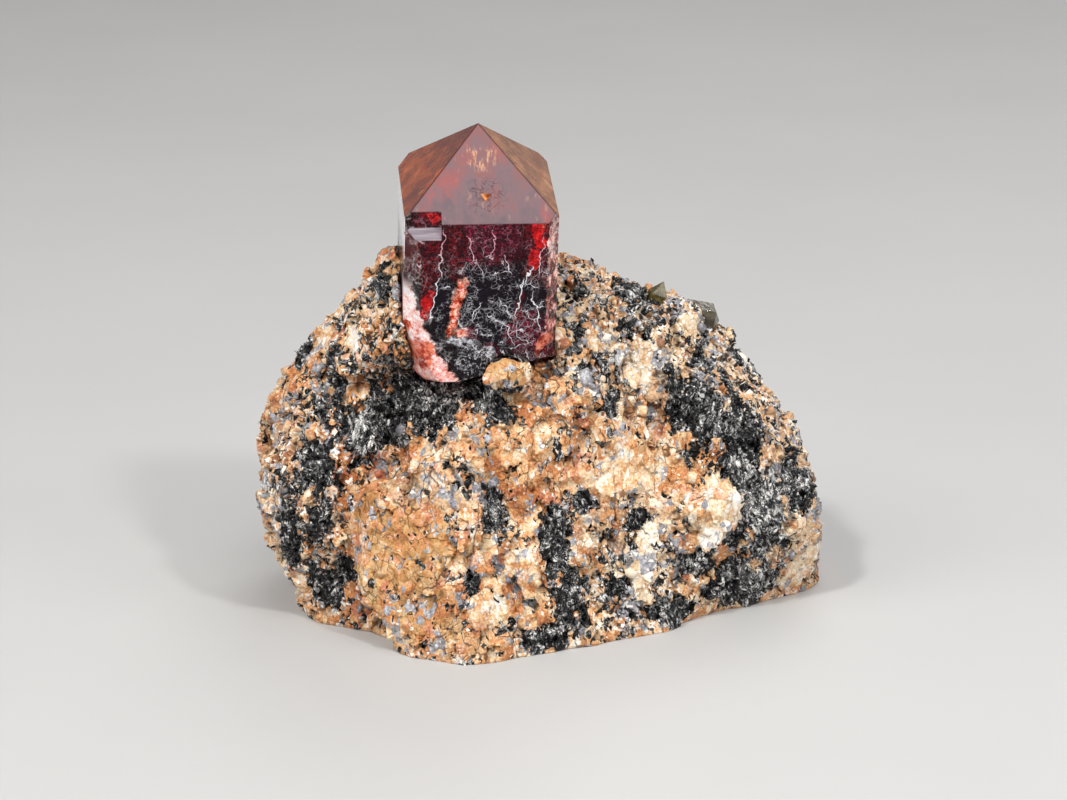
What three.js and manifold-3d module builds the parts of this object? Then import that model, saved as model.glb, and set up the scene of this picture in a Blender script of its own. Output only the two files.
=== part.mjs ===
// A zircon crystal standing on a lump of feldspar and biotite rock.
// Millimetres, +Z up. The origin is under the middle of the flat base.
import * as THREE from "three";
import { ConvexGeometry } from "three/addons/geometries/ConvexGeometry.js";
import { ImprovedNoise } from "three/addons/math/ImprovedNoise.js";
import { MeshSurfaceSampler } from "three/addons/math/MeshSurfaceSampler.js";
import { mergeVertices } from "three/addons/utils/BufferGeometryUtils.js";
import Module from "manifold-3d";

const wasm = await Module();
wasm.setup();

// ---- Driving dimensions ----------------------------------------------------

const SEAT_GAP = 0.3; // between a crystal and the socket it grew in
const WEAR = 22; // how sharp the broken edges of the rock are: higher is sharper
const PEBBLE_DETAIL = 3; // how finely lumps and hollows are divided
const FOOT_CLEAR = 3; // no grain stands out of the rock lower than this
const NEAR = 1e-6; // numbers this close are the same

// The rock's surface swells by up to rise over lumps about span across.
const RELIEF = {
  broad: { span: 9.0, rise: 1.5 },
  ridged: { span: 4.2, rise: 1.3, crest: 0.35 },
  fine: { span: 1.9, rise: 0.45 },
};

// A face is [bearing, rise, reach]: which way it looks, in degrees round from +X
// and above the horizon, and how far it lies from the heart of its block.
const BLOCKS = {
  core: {
    heart: [0, 0, 16],
    detail: 11,
    faces: [
      [180, 45, 24.6], // long slope down to the left
      [180, 8, 28.0],
      [180, -22, 28.6], // undercut left foot
      [270, 80, 21.1], // crown
      [0, 72, 20.5],
      [0, 32, 23.0], // slope down to the right
      [0, 18, 25.6],
      [0, 0, 29.8],
      [270, 56, 16.3], // slope the crystal grew on
      [225, 42, 20.4],
      [318, 44, 19.6],
      [240, 11, 15.0], // lower front, left of the prow
      [294, 9, 9.6], // lower front, right of the prow
      [335, 12, 24.5],
      [205, 3, 26.0],
      [90, 14, 18.6], // back
      [128, 8, 23.4],
      [48, 16, 23.0],
      [75, 48, 19.6],
      [140, 46, 22.0],
      [15, 48, 22.6],
      [105, -22, 19.8],
    ],
  },
  prow: {
    heart: [0, -4, 14],
    detail: 9,
    faces: [
      [254, 13, 13.3],
      [295, 11, 9.0],
      [276, 40, 12.6],
      [142, 50, 7.4], // ridge above the mica hollow
      [166, -26, 16.4], // ledge down the left side
      [322, 8, 13.6],
      [330, 45, 13.2],
      [30, 20, 16.0],
      [90, 10, 12.0],
      [200, 30, 17.5],
    ],
  },
  leftShoulder: {
    heart: [-17, 1, 15],
    detail: 5,
    faces: [
      [238, 14, 12.3],
      [215, 28, 12.0],
      [184, 5, 11.8],
      [180, -24, 11.8],
      [182, 44, 13.4],
      [270, -24, 12.6],
      [300, 6, 8.6],
      [262, 48, 10.4],
      [20, 10, 10.0],
      [100, 10, 10.0],
      [160, 10, 12.0],
    ],
  },
  crystalBed: {
    heart: [-13, -3, 32],
    detail: 4,
    faces: [
      [205, 28, 4.4], // beside the crystal's left face
      [180, 49, 5.7],
      [270, 5, 7.6],
      [255, -50, 6.6],
      [0, 10, 4.0],
      [90, 10, 5.0],
      [150, 20, 5.0],
      [0, -90, 6.0],
    ],
  },
  rightShoulder: {
    heart: [17, 0, 9],
    detail: 5,
    faces: [
      [302, 16, 9.8],
      [300, -20, 8.4],
      [330, 10, 12.9],
      [0, 6, 12.9],
      [350, 36, 13.0],
      [285, 52, 14.6],
      [255, 10, 8.6],
      [320, -30, 14.0],
      [40, 15, 13.6],
      [90, 20, 14.0],
      [180, 10, 12.0],
    ],
  },
};

// Hollows scooped out of the rock: middle, half sizes, turn about Z in degrees.
const HOLLOWS = [
  { at: [-9.6, -14.6, 26.0], size: [6.4, 6.6, 4.0], turn: 10 }, // mica pocket under the crystal
  { at: [-16.6, -15.0, 23.4], size: [5.4, 5.6, 4.6], turn: 30 }, // its left end
  { at: [-19.6, -14.4, 13.5], size: [2.3, 3.2, 9.5], turn: 20 }, // groove beside the ledge
  { at: [6.6, -17.6, 7.5], size: [1.7, 3.2, 7.5], turn: -12 }, // crevice in the prow
  { at: [-28.6, -3.0, 18.6], size: [2.0, 4.5, 1.5], turn: 0 }, // nick in the left edge
  { at: [29.6, -1.0, 15.6], size: [2.4, 5.0, 1.1], turn: 0 }, // nick in the right edge
];

// Lumps that stand out of it.
const LUMPS = [
  { at: [-2.6, -11.1, 28.3], size: [2.3, 1.7, 2.0], turn: 12 }, // feldspar in front of the crystal's foot
  { at: [18.2, -7.3, 12.2], size: [2.8, 1.9, 4.0], turn: 25 }, // pale feldspar block
  { at: [-17.2, -8.2, 20.2], size: [2.0, 1.8, 2.6], turn: 0 }, // knob in the mica pocket
  { at: [15.0, 1.4, 29.5], size: [3.4, 2.3, 3.1], turn: -8 }, // crown, in front of the small crystals
];

// The zircon, in its own frame: Z along the crystal, zero where the top pyramid starts.
const ZIRCON = {
  pitch: 42.2, // slope of a pyramid face, in degrees
  length: 18.3, // of the front prism face
  // Upright faces: [bearing, distance from the axis]. The corner faces are narrow.
  sides: [
    [0, 7.7],
    [90, 6.8],
    [180, 7.7],
    [270, 8.15],
  ],
  corners: [
    [45, 9.9],
    [135, 9.3],
    [225, 10.75],
    [315, 10.45],
  ],
  at: [-5.73, -5.78, 46.13],
  turn: 5, // about Z, in degrees
  lean: 9.5, // towards -Y, in degrees
  sway: 1.4, // towards +X, in degrees
  step: { width: 3.65, depth: 1.04, drop: 1.8 }, // growth step at the front left shoulder
  // Faces of the foot, worn round at the front left: [bearing, rise, reach], as above.
  wornFoot: [
    [224, -3, 10.4],
    [221, -19, 13.9],
    [202, -14, 11.9],
    [207, -40, 17.5],
    [234, -51, 19.2],
    [272, -70, 19.2],
    [296, -55, 18.0],
  ],
};

// Small crystals on the back of the crown.
const SMOKY = {
  at: [17.4, 4.6, 29.75],
  halfWidth: 1.5,
  length: 4.9,
  rise: 56,
  lean: 14,
  turn: 8,
  sway: 16,
};
const OLIVE = {
  pitch: 60, // slope of a pyramid face, in degrees
  sides: [0, 90, 180, 270].map((bearing) => [bearing, 0.9]),
  length: 2.4,
  at: [13.1, 3.4, 32.6],
  lean: -6,
  turn: 12,
  sway: 24,
};

// Grains that stand out of the rock. A feldspar grain is as long, broad and thick as shares says,
// and bevel is how far from its middle its corners are struck off. A biotite book is flat leaves,
// each narrower than the last by taper, and biotite keeps to patches about patch across.
const FELDSPAR = {
  count: 60,
  least: 1.6,
  most: 3.4,
  sunk: 1.0,
  tilt: 0.5,
  shares: [1, 0.78, 0.6],
  bevel: 0.46,
};
const BIOTITE = {
  count: 20,
  least: 1.6,
  most: 2.8,
  leaf: 0.5,
  tilt: 0.9,
  narrow: 0.72,
  taper: 0.16,
  patch: 11,
};

// ---- Tools -----------------------------------------------------------------

const noise = new ImprovedNoise();
const degrees = THREE.MathUtils.degToRad;

// The same run of numbers from 0 to 1 each time, for one seed.
function dice(seed) {
  let state = seed;
  return () => {
    state = (state * 1664525 + 1013904223) % 4294967296;
    return state / 4294967296;
  };
}

function heading(bearing, rise) {
  const flat = Math.cos(degrees(rise));
  return new THREE.Vector3(
    Math.cos(degrees(bearing)) * flat,
    Math.sin(degrees(bearing)) * flat,
    Math.sin(degrees(rise)),
  );
}

// A closed three.js geometry as a solid that can be joined and cut.
function solid(geometry) {
  const bare = geometry.clone();
  bare.deleteAttribute("normal");
  bare.deleteAttribute("uv");
  const merged = mergeVertices(bare, 1e-4);
  return new wasm.Manifold(
    new wasm.Mesh({
      numProp: 3,
      vertProperties: new Float32Array(merged.attributes.position.array),
      triVerts: new Uint32Array(merged.index.array),
    }),
  );
}

function geometryOf(made) {
  const mesh = made.getMesh();
  const geometry = new THREE.BufferGeometry();
  geometry.setAttribute("position", new THREE.BufferAttribute(new Float32Array(mesh.vertProperties), 3));
  geometry.setIndex(new THREE.BufferAttribute(new Uint32Array(mesh.triVerts), 1));
  return geometry;
}

// The convex solid held between planes, each { normal, reach } from the origin.
function held(planes) {
  const corners = [];
  const meet = new THREE.Matrix3();
  for (let a = 0; a < planes.length; a++) {
    for (let b = a + 1; b < planes.length; b++) {
      for (let c = b + 1; c < planes.length; c++) {
        const [p, q, r] = [planes[a].normal, planes[b].normal, planes[c].normal];
        meet.set(p.x, p.y, p.z, q.x, q.y, q.z, r.x, r.y, r.z);
        if (Math.abs(meet.determinant()) < NEAR) continue;
        const corner = new THREE.Vector3(planes[a].reach, planes[b].reach, planes[c].reach);
        corner.applyMatrix3(meet.invert());
        if (planes.every((face) => face.normal.dot(corner) < face.reach + NEAR)) corners.push(corner);
      }
    }
  }
  return new ConvexGeometry(corners);
}

// ---- The rock --------------------------------------------------------------

// How far the rock swells or sinks at a point: broad lumps, then ridged breaks.
function relief(x, y, z) {
  const { broad, ridged, fine } = RELIEF;
  const at = (span, offset) => noise.noise(x / span + offset, y / span, z / span);
  const lumps = at(broad.span, 3.1) * broad.rise;
  const breaks = (ridged.crest - Math.abs(at(ridged.span, 7.7))) * ridged.rise;
  return lumps + breaks + at(fine.span, 5.3) * fine.rise;
}

function block({ heart, faces, detail }) {
  const ball = new THREE.IcosahedronGeometry(1, detail);
  const place = ball.attributes.position;
  const middle = new THREE.Vector3(...heart);
  const way = new THREE.Vector3();
  const sides = faces.map(([bearing, rise, reach]) => ({ normal: heading(bearing, rise), reach }));
  sides.push({ normal: new THREE.Vector3(0, 0, -1), reach: heart[2] + 2 });
  for (let i = 0; i < place.count; i++) {
    way.fromBufferAttribute(place, i).normalize();
    const pulls = sides.map(({ normal, reach }) => Math.max(0, normal.dot(way) / reach) ** WEAR);
    const out = pulls.reduce((sum, pull) => sum + pull, 0) ** (-1 / WEAR);
    const grown = out + relief(way.x * out + heart[0], way.y * out + heart[1], way.z * out + heart[2]);
    place.setXYZ(i, ...way.multiplyScalar(grown).add(middle));
  }
  return solid(ball);
}

// A ball pushed out of round, for a lump or for what a hollow takes away.
function pebble({ at, size, turn }) {
  const ball = new THREE.IcosahedronGeometry(1, PEBBLE_DETAIL);
  const place = ball.attributes.position;
  for (let i = 0; i < place.count; i++) {
    const [x, y, z] = [place.getX(i), place.getY(i), place.getZ(i)];
    const swell = 1 + 0.22 * noise.noise(x * 2.1 + at[0], y * 2.1 + at[1], z * 2.1 + at[2]);
    place.setXYZ(i, x * swell * size[0], y * swell * size[1], z * swell * size[2]);
  }
  ball.rotateZ(degrees(turn));
  ball.translate(...at);
  return solid(ball);
}

// A blunt cleavage fragment: three pairs of flat faces with two corners struck off.
function feldsparGrain(size, roll) {
  const halves = FELDSPAR.shares.map((share) => size * share * (0.42 + 0.16 * roll()));
  const axes = [new THREE.Vector3(1, 0, 0), new THREE.Vector3(0.1, 1, 0), new THREE.Vector3(0.35, 0, 1)];
  const planes = axes.flatMap((axis, i) => [
    { normal: axis.clone().normalize(), reach: halves[i] },
    { normal: axis.clone().normalize().negate(), reach: halves[i] },
  ]);
  for (let i = 0; i < 2; i++) {
    planes.push({ normal: heading(roll() * 360, roll() * 90 - 20), reach: size * FELDSPAR.bevel });
  }
  return held(planes);
}

// A book of mica: two six-sided leaves, the upper a little askew on the lower.
function biotiteBook(size, roll) {
  const leaves = [0, 1].map((i) => {
    const across = (size / 2) * (1 - BIOTITE.taper * i);
    const leaf = new THREE.CylinderGeometry(across, across * 1.05, BIOTITE.leaf, 6);
    leaf.rotateX(Math.PI / 2);
    leaf.scale(1, BIOTITE.narrow, 1);
    leaf.rotateZ(0.3 * i + 0.2 * roll());
    leaf.translate(0.12 * i, 0, (i - 1) * BIOTITE.leaf * 0.82);
    return solid(leaf);
  });
  return geometryOf(wasm.Manifold.union(leaves));
}

// Sows count grains over a surface, each made by shape. They lean off square by up to tilt and
// are sunk by up to sunk, and clear says where one may stand.
function sow(surface, seed, { count, tilt, sunk, shape, clear }) {
  const roll = dice(seed);
  const sampler = new MeshSurfaceSampler(new THREE.Mesh(surface)).setRandomGenerator(roll).build();
  const upright = new THREE.Vector3(0, 0, 1);
  const [spot, out, across] = [new THREE.Vector3(), new THREE.Vector3(), new THREE.Vector3()];
  const grains = [];
  while (grains.length < count) {
    sampler.sample(spot, out);
    const grain = shape(roll);
    across.set(roll() - 0.5, roll() - 0.5, roll() - 0.5).normalize();
    if (!clear(spot)) continue;
    out.addScaledVector(across, tilt).normalize();
    grain.rotateZ(roll() * Math.PI * 2);
    grain.applyQuaternion(new THREE.Quaternion().setFromUnitVectors(upright, out));
    grain.translate(...spot.addScaledVector(out, -sunk * roll()));
    grains.push(solid(grain));
  }
  return grains;
}

// The matrix: blocks with hollows, lumps and grains, cut flat below and pierced by the sockets.
function matrixSolid(sockets) {
  const blocks = Object.values(BLOCKS).map(block);
  const scooped = wasm.Manifold.union(blocks).subtract(wasm.Manifold.union(HOLLOWS.map(pebble)));
  const surface = geometryOf(scooped).toNonIndexed();
  surface.computeVertexNormals();
  const span = ({ least, most }, roll) => least + (most - least) * roll() ** 2;
  const aboveFoot = (spot) => spot.z > FOOT_CLEAR;
  const { patch } = BIOTITE;
  const patchy = ({ x, y, z }) => noise.noise(x / patch, y / patch, z / patch + 2) > -0.05;
  const feldspar = {
    ...FELDSPAR,
    shape: (roll) => feldsparGrain(span(FELDSPAR, roll), roll),
    clear: aboveFoot,
  };
  const biotite = {
    ...BIOTITE,
    sunk: BIOTITE.leaf,
    shape: (roll) => biotiteBook(span(BIOTITE, roll), roll),
    clear: (spot) => aboveFoot(spot) && patchy(spot),
  };
  const grains = [...sow(surface, 11, feldspar), ...sow(surface, 29, biotite)];
  const belowGround = new THREE.BoxGeometry(100, 100, 40).translate(0, 0, -20);
  const whole = wasm.Manifold.union([scooped, ...LUMPS.map(pebble), ...grains]);
  const cut = whole.subtract(solid(belowGround)).subtract(wasm.Manifold.union(sockets));
  return cut.decompose().reduce((most, piece) => (piece.volume() > most.volume() ? piece : most));
}

// ---- The crystals ----------------------------------------------------------

// Faces of a four-sided prism with a point at each end. Z is 0 where the widest face ends.
function pointedPrism({ sides, length, pitch }, spare) {
  const cap = 90 - pitch;
  const point = Math.max(...sides.map(([, reach]) => reach)) * Math.tan(degrees(pitch));
  const planes = [];
  for (const [bearing, reach] of sides) {
    planes.push({ normal: heading(bearing, 0), reach: reach + spare });
    const crown = heading(bearing, cap);
    planes.push({ normal: crown, reach: crown.z * point + spare });
    planes.push({ normal: heading(bearing, -cap), reach: crown.z * (point + length) + spare });
  }
  return planes;
}

// The big crystal, with its worn foot and the growth step in its left shoulder.
function zirconSolid(spare) {
  const { sides, corners, pitch, step, wornFoot } = ZIRCON;
  const narrow = [...corners.map(([bearing, reach]) => [bearing, 0, reach]), ...wornFoot].map(
    ([bearing, rise, reach]) => ({ normal: heading(bearing, rise), reach: reach + spare }),
  );
  const whole = solid(held([...pointedPrism(ZIRCON, spare), ...narrow]));
  if (spare > 0) return whole;
  // Side view of the notch: a wall set back by the step's depth, above a ledge as steep as the pyramid.
  const [, , [, left], [, front]] = sides;
  const climb = Math.tan(degrees(pitch));
  const outer = -front - 1;
  const wall = -front + step.depth;
  const ledge = (y) => -step.drop + (y + front) * climb;
  const notch = new THREE.Shape([
    new THREE.Vector2(outer, ledge(outer)),
    new THREE.Vector2(wall, ledge(wall)),
    new THREE.Vector2(wall, front),
    new THREE.Vector2(outer, front),
  ]);
  const cutter = new THREE.ExtrudeGeometry(notch, { depth: step.width + 1, bevelEnabled: false });
  // The outline is drawn as (Y, Z) and pushed along X, from just outside the left face.
  cutter.applyMatrix4(new THREE.Matrix4().set(0, 0, 1, -left - 1, 1, 0, 0, 0, 0, 1, 0, 0, 0, 0, 0, 1));
  return whole.subtract(solid(cutter));
}

// A six-sided crystal lying along X, with a six-sided point at each end.
function smokySolid(spare) {
  const { halfWidth, length, rise } = SMOKY;
  const point = (Math.sin(degrees(rise)) * length) / 2;
  const planes = [];
  for (const bearing of [0, 60, 120, 180, 240, 300]) {
    planes.push({ normal: heading(bearing, 0), reach: halfWidth + spare });
    planes.push({ normal: heading(bearing, rise), reach: point + spare });
    planes.push({ normal: heading(bearing, -rise), reach: point + spare });
  }
  return solid(held(planes).rotateY(Math.PI / 2));
}

function oliveSolid(spare) {
  return solid(held(pointedPrism(OLIVE, spare)));
}

// Turns a crystal about Z, sways and leans it, and moves it to where it grew.
function place(made, { at, lean, turn, sway = 0 }) {
  const geometry = geometryOf(made);
  geometry.rotateZ(degrees(turn));
  geometry.rotateY(degrees(sway));
  geometry.rotateX(degrees(lean));
  geometry.translate(...at);
  return solid(geometry);
}

// ---- The model -------------------------------------------------------------

const CRYSTALS = [
  {
    name: "zircon_crystal",
    make: (spare) => place(zirconSolid(spare), ZIRCON),
    finish: { color: 0x5a0f14, roughness: 0.08, metalness: 0 },
  },
  {
    name: "smoky_crystal",
    make: (spare) => place(smokySolid(spare), SMOKY),
    finish: { color: 0x5b5648, roughness: 0.15, metalness: 0 },
  },
  {
    name: "olive_crystal",
    make: (spare) => place(oliveSolid(spare), OLIVE),
    finish: { color: 0x6f6536, roughness: 0.2, metalness: 0 },
  },
];

const specimen = new THREE.Group();
for (const { name, make, finish } of CRYSTALS) {
  const crystal = new THREE.Mesh(geometryOf(make(0)), new THREE.MeshStandardMaterial(finish));
  crystal.name = name;
  specimen.add(crystal);
}
const matrix = new THREE.Mesh(
  geometryOf(matrixSolid(CRYSTALS.map(({ make }) => make(SEAT_GAP)))),
  new THREE.MeshStandardMaterial({ color: 0xc08a58, roughness: 0.75, metalness: 0 }),
);
matrix.name = "matrix";
specimen.add(matrix);

// The origin goes under the middle of the whole.
const middle = new THREE.Box3().setFromObject(specimen).getCenter(new THREE.Vector3());
for (const piece of specimen.children) piece.position.set(-middle.x, -middle.y, 0);

export default specimen;
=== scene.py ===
"""A deep red zircon crystal standing on a lump of feldspar and biotite rock."""

import math

import bmesh
import bpy
import numpy as np
from bpy.props import FloatProperty, FloatVectorProperty, IntProperty, PointerProperty
from mathutils import Matrix, Vector, noise
from mathutils.bvhtree import BVHTree


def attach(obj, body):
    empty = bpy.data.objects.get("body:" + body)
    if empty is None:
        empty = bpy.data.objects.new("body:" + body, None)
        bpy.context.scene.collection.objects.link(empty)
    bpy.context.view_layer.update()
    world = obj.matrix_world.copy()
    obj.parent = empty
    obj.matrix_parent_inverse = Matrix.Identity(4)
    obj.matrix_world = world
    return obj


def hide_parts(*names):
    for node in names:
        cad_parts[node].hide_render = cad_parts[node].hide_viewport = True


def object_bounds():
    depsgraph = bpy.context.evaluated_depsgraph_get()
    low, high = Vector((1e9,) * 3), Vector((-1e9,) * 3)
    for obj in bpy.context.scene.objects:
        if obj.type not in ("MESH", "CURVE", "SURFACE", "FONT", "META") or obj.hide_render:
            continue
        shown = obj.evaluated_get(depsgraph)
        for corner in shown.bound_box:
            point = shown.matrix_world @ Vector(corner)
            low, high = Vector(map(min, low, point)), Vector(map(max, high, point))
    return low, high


bl_info = {
    "name": "Zircon on Matrix",
    "version": (1, 0, 0),
    "blender": (4, 5, 0),
    "location": "3D View > Sidebar > Specimen",
    "description": "Builds a zircon crystal on its rock, piece by piece, around a fixed frame",
    "category": "Object",
}

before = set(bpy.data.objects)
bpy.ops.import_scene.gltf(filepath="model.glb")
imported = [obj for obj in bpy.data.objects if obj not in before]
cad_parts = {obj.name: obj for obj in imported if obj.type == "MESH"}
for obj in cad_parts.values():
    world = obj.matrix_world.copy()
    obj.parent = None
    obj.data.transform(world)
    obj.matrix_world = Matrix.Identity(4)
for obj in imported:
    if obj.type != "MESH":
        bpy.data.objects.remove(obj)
CAD_BOX = [list(corner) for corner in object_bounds()]

MM = 0.001
RIM = 0.7 * MM  # nothing stands on the rock lower than this
SHARP = 17  # degrees between faces of the rock that meet in a hard edge
CRUMBS = 2.6  # how many crumbs lie across a grain
ZONE_WAVER = 3.2  # how ragged the edges of the rock's zones are

# ---- Where things are, in millimetres ------------------------------------------------------

# The big crystal's own frame: Z along the crystal, zero where the front face of the point ends.
ZIRCON_AT = (-6.57, -6.89, 46.13)
ZIRCON_LEAN = 9.5  # degrees about X, towards -Y
ZIRCON_SWAY = 1.4  # degrees about Y, towards +X
ZIRCON_TURN = 5.0  # degrees about Z
ZIRCON_FRONT = 8.15  # from its axis to the front face
ZIRCON_POINT = 7.39  # height of its point
ZIRCON_PITCH = 42.2  # slope of the point's faces, in degrees
ZIRCON_SLOPE = math.tan(math.radians(ZIRCON_PITCH))
ZIRCON_STEP = 1.8  # how far down the growth step in its left shoulder is
PIT_AT = (0.45, 2.0)  # the little pit in the front of the point: across, and up the crystal

# Zones of the rock, each row: middle, then half sizes.
ZONES = {
    "mica_zone": (
        (-17.4, -10.0, 22.2, 4.4, 5.0, 3.8),  # the pocket under the crystal
        (-12.0, -10.0, 24.9, 5.4, 5.0, 3.2), (-8.0, -10.0, 26.4, 4.0, 4.0, 1.9),
        (-21.4, -4.9, 26.0, 1.1, 4.0, 2.6),  # streaks down the left shoulder
        (-24.9, 2.4, 26.0, 1.4, 3.0, 1.8), (-16.6, -6.5, 36.2, 1.5, 3.0, 2.4),
        (-23.4, -11.2, 18.0, 1.5, 4.0, 3.4), (-22.9, -12.4, 12.2, 1.3, 5.0, 2.6),
        (-22.4, -10.0, 4.4, 2.0, 5.0, 3.0), (-26.2, -10.0, 10.0, 1.4, 6.0, 4.4),
        (-15.1, -7.0, 29.8, 1.5, 3.0, 1.6),  # beside the crystal's foot
        (-17.6, -7.4, 29.4, 1.3, 3.0, 1.3),
        (1.5, -15.5, 11.1, 1.5, 3.0, 3.9),  # crevice down the prow
        (2.6, -14.9, 5.6, 1.2, 4.0, 3.4), (0.6, -17.0, 1.4, 2.6, 4.0, 1.7),
        (-4.5, -16.6, 14.8, 1.5, 2.0, 2.3),  # grey grain on the prow
        (-4.2, -12.7, 24.5, 1.5, 2.5, 1.9),
        (-3.2, -13.2, 26.4, 2.8, 2.0, 1.1),  # under the lump
        (-7.3, -19.0, 8.1, 1.1, 2.0, 1.8), (-20.4, -10.5, 6.5, 1.2, 3.0, 1.6),
        (7.4, -8.6, 24.2, 1.0, 2.0, 1.5), (10.2, -10.7, 12.1, 1.4, 3.0, 0.9),
        (4.4, -12.6, 15.0, 1.0, 2.0, 1.2), (8.1, -12.9, 5.7, 1.4, 2.5, 1.1),
        (16.0, -7.0, 23.6, 3.6, 6.0, 4.9),  # the big biotite mass on the right
        (20.4, -7.3, 18.4, 3.1, 5.0, 5.4), (23.0, -7.6, 11.1, 3.5, 6.0, 6.4),
        (21.5, -5.9, 3.0, 4.6, 6.0, 3.0), (27.0, -4.6, 14.4, 2.2, 4.0, 4.4),
        (21.0, 4.3, 25.6, 2.2, 4.0, 2.4), (13.6, -10.7, 2.2, 3.0, 4.0, 1.7),
        (16.3, -10.1, 7.0, 2.2, 3.0, 1.8),
        (9.5, 0.8, 33.5, 2.9, 4.0, 1.2),  # along the crown
        (13.0, 14.0, 14.0, 4.0, 6.0, 7.0),  # the back
        (-2.0, 16.0, 22.0, 6.0, 6.0, 3.0), (-14.0, 15.0, 8.0, 4.0, 6.0, 6.5),
        (27.0, 6.0, 10.0, 3.5, 4.0, 6.0), (-26.0, 5.0, 9.0, 3.5, 4.5, 4.0),
    ),
    "pale_zone": (
        (9.1, -9.9, 17.8, 4.4, 4.0, 2.9),  # white patch on the right of the prow
        (12.7, -9.2, 20.4, 2.2, 3.0, 2.0),
        (18.0, -10.6, 12.6, 2.9, 3.4, 4.3),  # the pale block
        (10.7, -11.7, 6.4, 1.5, 3.0, 3.6), (27.6, -2.5, 3.9, 2.0, 5.0, 3.0),
        (10.2, -5.1, 27.4, 2.0, 3.0, 2.0), (-22.7, -0.2, 28.3, 1.1, 3.0, 1.8),
        (-1.9, -17.4, 9.2, 1.9, 3.0, 1.9), (-5.6, -18.6, 5.4, 1.9, 3.0, 1.9),
        (15.0, -1.6, 30.6, 2.4, 3.0, 1.3), (6.0, -6.5, 30.2, 2.2, 3.0, 1.5),
        (-19.4, -7.0, 30.6, 1.3, 2.5, 1.4),
        (5.0, 17.0, 12.0, 4.0, 4.0, 3.5),  # the back
        (-18.0, 10.0, 20.0, 4.0, 4.0, 3.0), (20.0, 8.0, 22.0, 3.0, 4.0, 4.0),
    ),
    "ochre_zone": (
        (-14.4, -15.5, 10.4, 6.6, 5.0, 6.2), (-11.4, -18.7, 4.2, 3.4, 3.0, 2.4),
        (-3.4, -12.2, 29.0, 2.6, 2.4, 1.6),  # the lump in front of the crystal
        (8.1, -12.3, 8.3, 2.3, 3.0, 1.9), (-18.6, -13.5, 15.3, 2.2, 3.0, 1.8),
        (8.0, 14.0, 26.0, 4.0, 4.0, 3.0),
    ),
    "speckled_zone": (
        (-17.0, -6.0, 30.5, 7.5, 10.0, 7.0),  # left shoulder
        (9.0, -3.0, 31.5, 12.0, 9.0, 7.5),  # crown
        (21.0, 0.0, 23.0, 6.0, 8.0, 8.0),
        (9.0, -12.5, 5.0, 7.0, 6.0, 6.0),  # low on the right of the prow
        (-23.0, -6.0, 14.0, 5.0, 9.0, 13.0),  # left flank
        (0.0, 16.0, 14.0, 14.0, 8.0, 12.0),  # the back
    ),
    # Where the biotite's painted sheen is brighter.
    "silver_sheen_zone": (
        (23.4, -7.4, 10.0, 3.4, 5.0, 5.5), (25.0, -4.7, 4.5, 3.0, 4.0, 3.0),
        (-18.6, -10.6, 21.8, 2.6, 4.0, 2.6), (-4.5, -16.6, 14.8, 1.7, 3.0, 2.6),
        (-22.0, -12.0, 9.0, 2.0, 4.0, 3.0), (14.0, 14.0, 14.0, 3.0, 5.0, 5.0),
    ),
    "buff_zone": (
        (27.0, -2.0, 13.0, 6.0, 8.0, 12.0),  # right flank
        (13.0, -3.0, 28.0, 11.0, 9.0, 8.0), (10.0, -11.0, 8.0, 6.0, 6.0, 8.0),
        (-26.5, -4.0, 14.0, 4.0, 9.0, 9.0),
        (-11.5, -15.5, 17.0, 4.5, 4.0, 1.8),  # along the top of the ochre block
        (12.0, 14.0, 16.0, 9.0, 8.0, 9.0),
    ),
}

# Bright cracks inside the crystal, behind its front face:
# across, depth, height, width, length, lean in degrees.
FLAMES = (
    (-4.8, 1.6, -3.9, 1.9, 5.4, 3), (-5.4, 0.3, -9.0, 1.3, 3.6, 8), (-2.5, 1.7, -2.8, 2.0, 5.4, 0),
    (-4.9, 1.5, 0.3, 2.4, 1.4, 0), (5.5, 0.5, -1.4, 2.4, 3.0, -3), (5.3, 0.4, -4.0, 1.5, 2.5, 0),
    (4.4, 0.5, -5.6, 0.6, 1.8, 20), (3.6, 0.5, -10.0, 0.6, 2.2, 8), (0.5, 1.6, -2.2, 7.0, 4.2, 0),
    (5.3, 0.9, -12.2, 3.6, 4.0, 0),
)
# Colours that lie at its surface, each row: across, height, half width, half height, lean in degrees.
GARNETS = (
    (-4.9, -3.6, 1.0, 2.6, 4), (-5.35, -7.2, 0.6, 2.6, 8), (-2.55, -2.6, 0.85, 3.2, 0),
    (-5.4, 0.2, 1.5, 0.9, 0), (5.6, -1.6, 1.4, 2.0, 0), (5.35, -4.2, 0.95, 1.7, 6),
    (3.8, -9.6, 0.35, 1.5, 12),
)
# Red and orange spots painted at the surface: painted light thrown back from inside the crystal.
RED_REFLECTIONS = (
    (-4.72, 0.25, 0.55, 0.4, 0), (-5.5, -8.9, 0.42, 1.5, 12), (5.75, -1.1, 0.7, 1.3, 0),
    (5.3, -3.9, 0.5, 1.0, 0),
)
ORANGE_REFLECTIONS = (
    (-2.1, -7.3, 0.5, 1.2, 8), (-2.7, -9.8, 0.42, 2.7, 8), (6.3, -0.1, 0.36, 1.3, -6),
    (6.8, -14.4, 0.5, 0.8, 30), (-2.0, -12.0, 0.5, 0.5, 0),
)
COALS = ((-5.9, -14.4, 0.9, 1.3, 10), (-7.4, -11.8, 0.4, 0.35, 0), (6.5, -13.4, 0.7, 1.0, 20))
INK = ((1.4, -9.0, 4.2, 4.6, 0), (-1.4, -4.6, 0.8, 1.8, 0), (-3.9, -8.4, 0.7, 3.6, 6))
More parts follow.
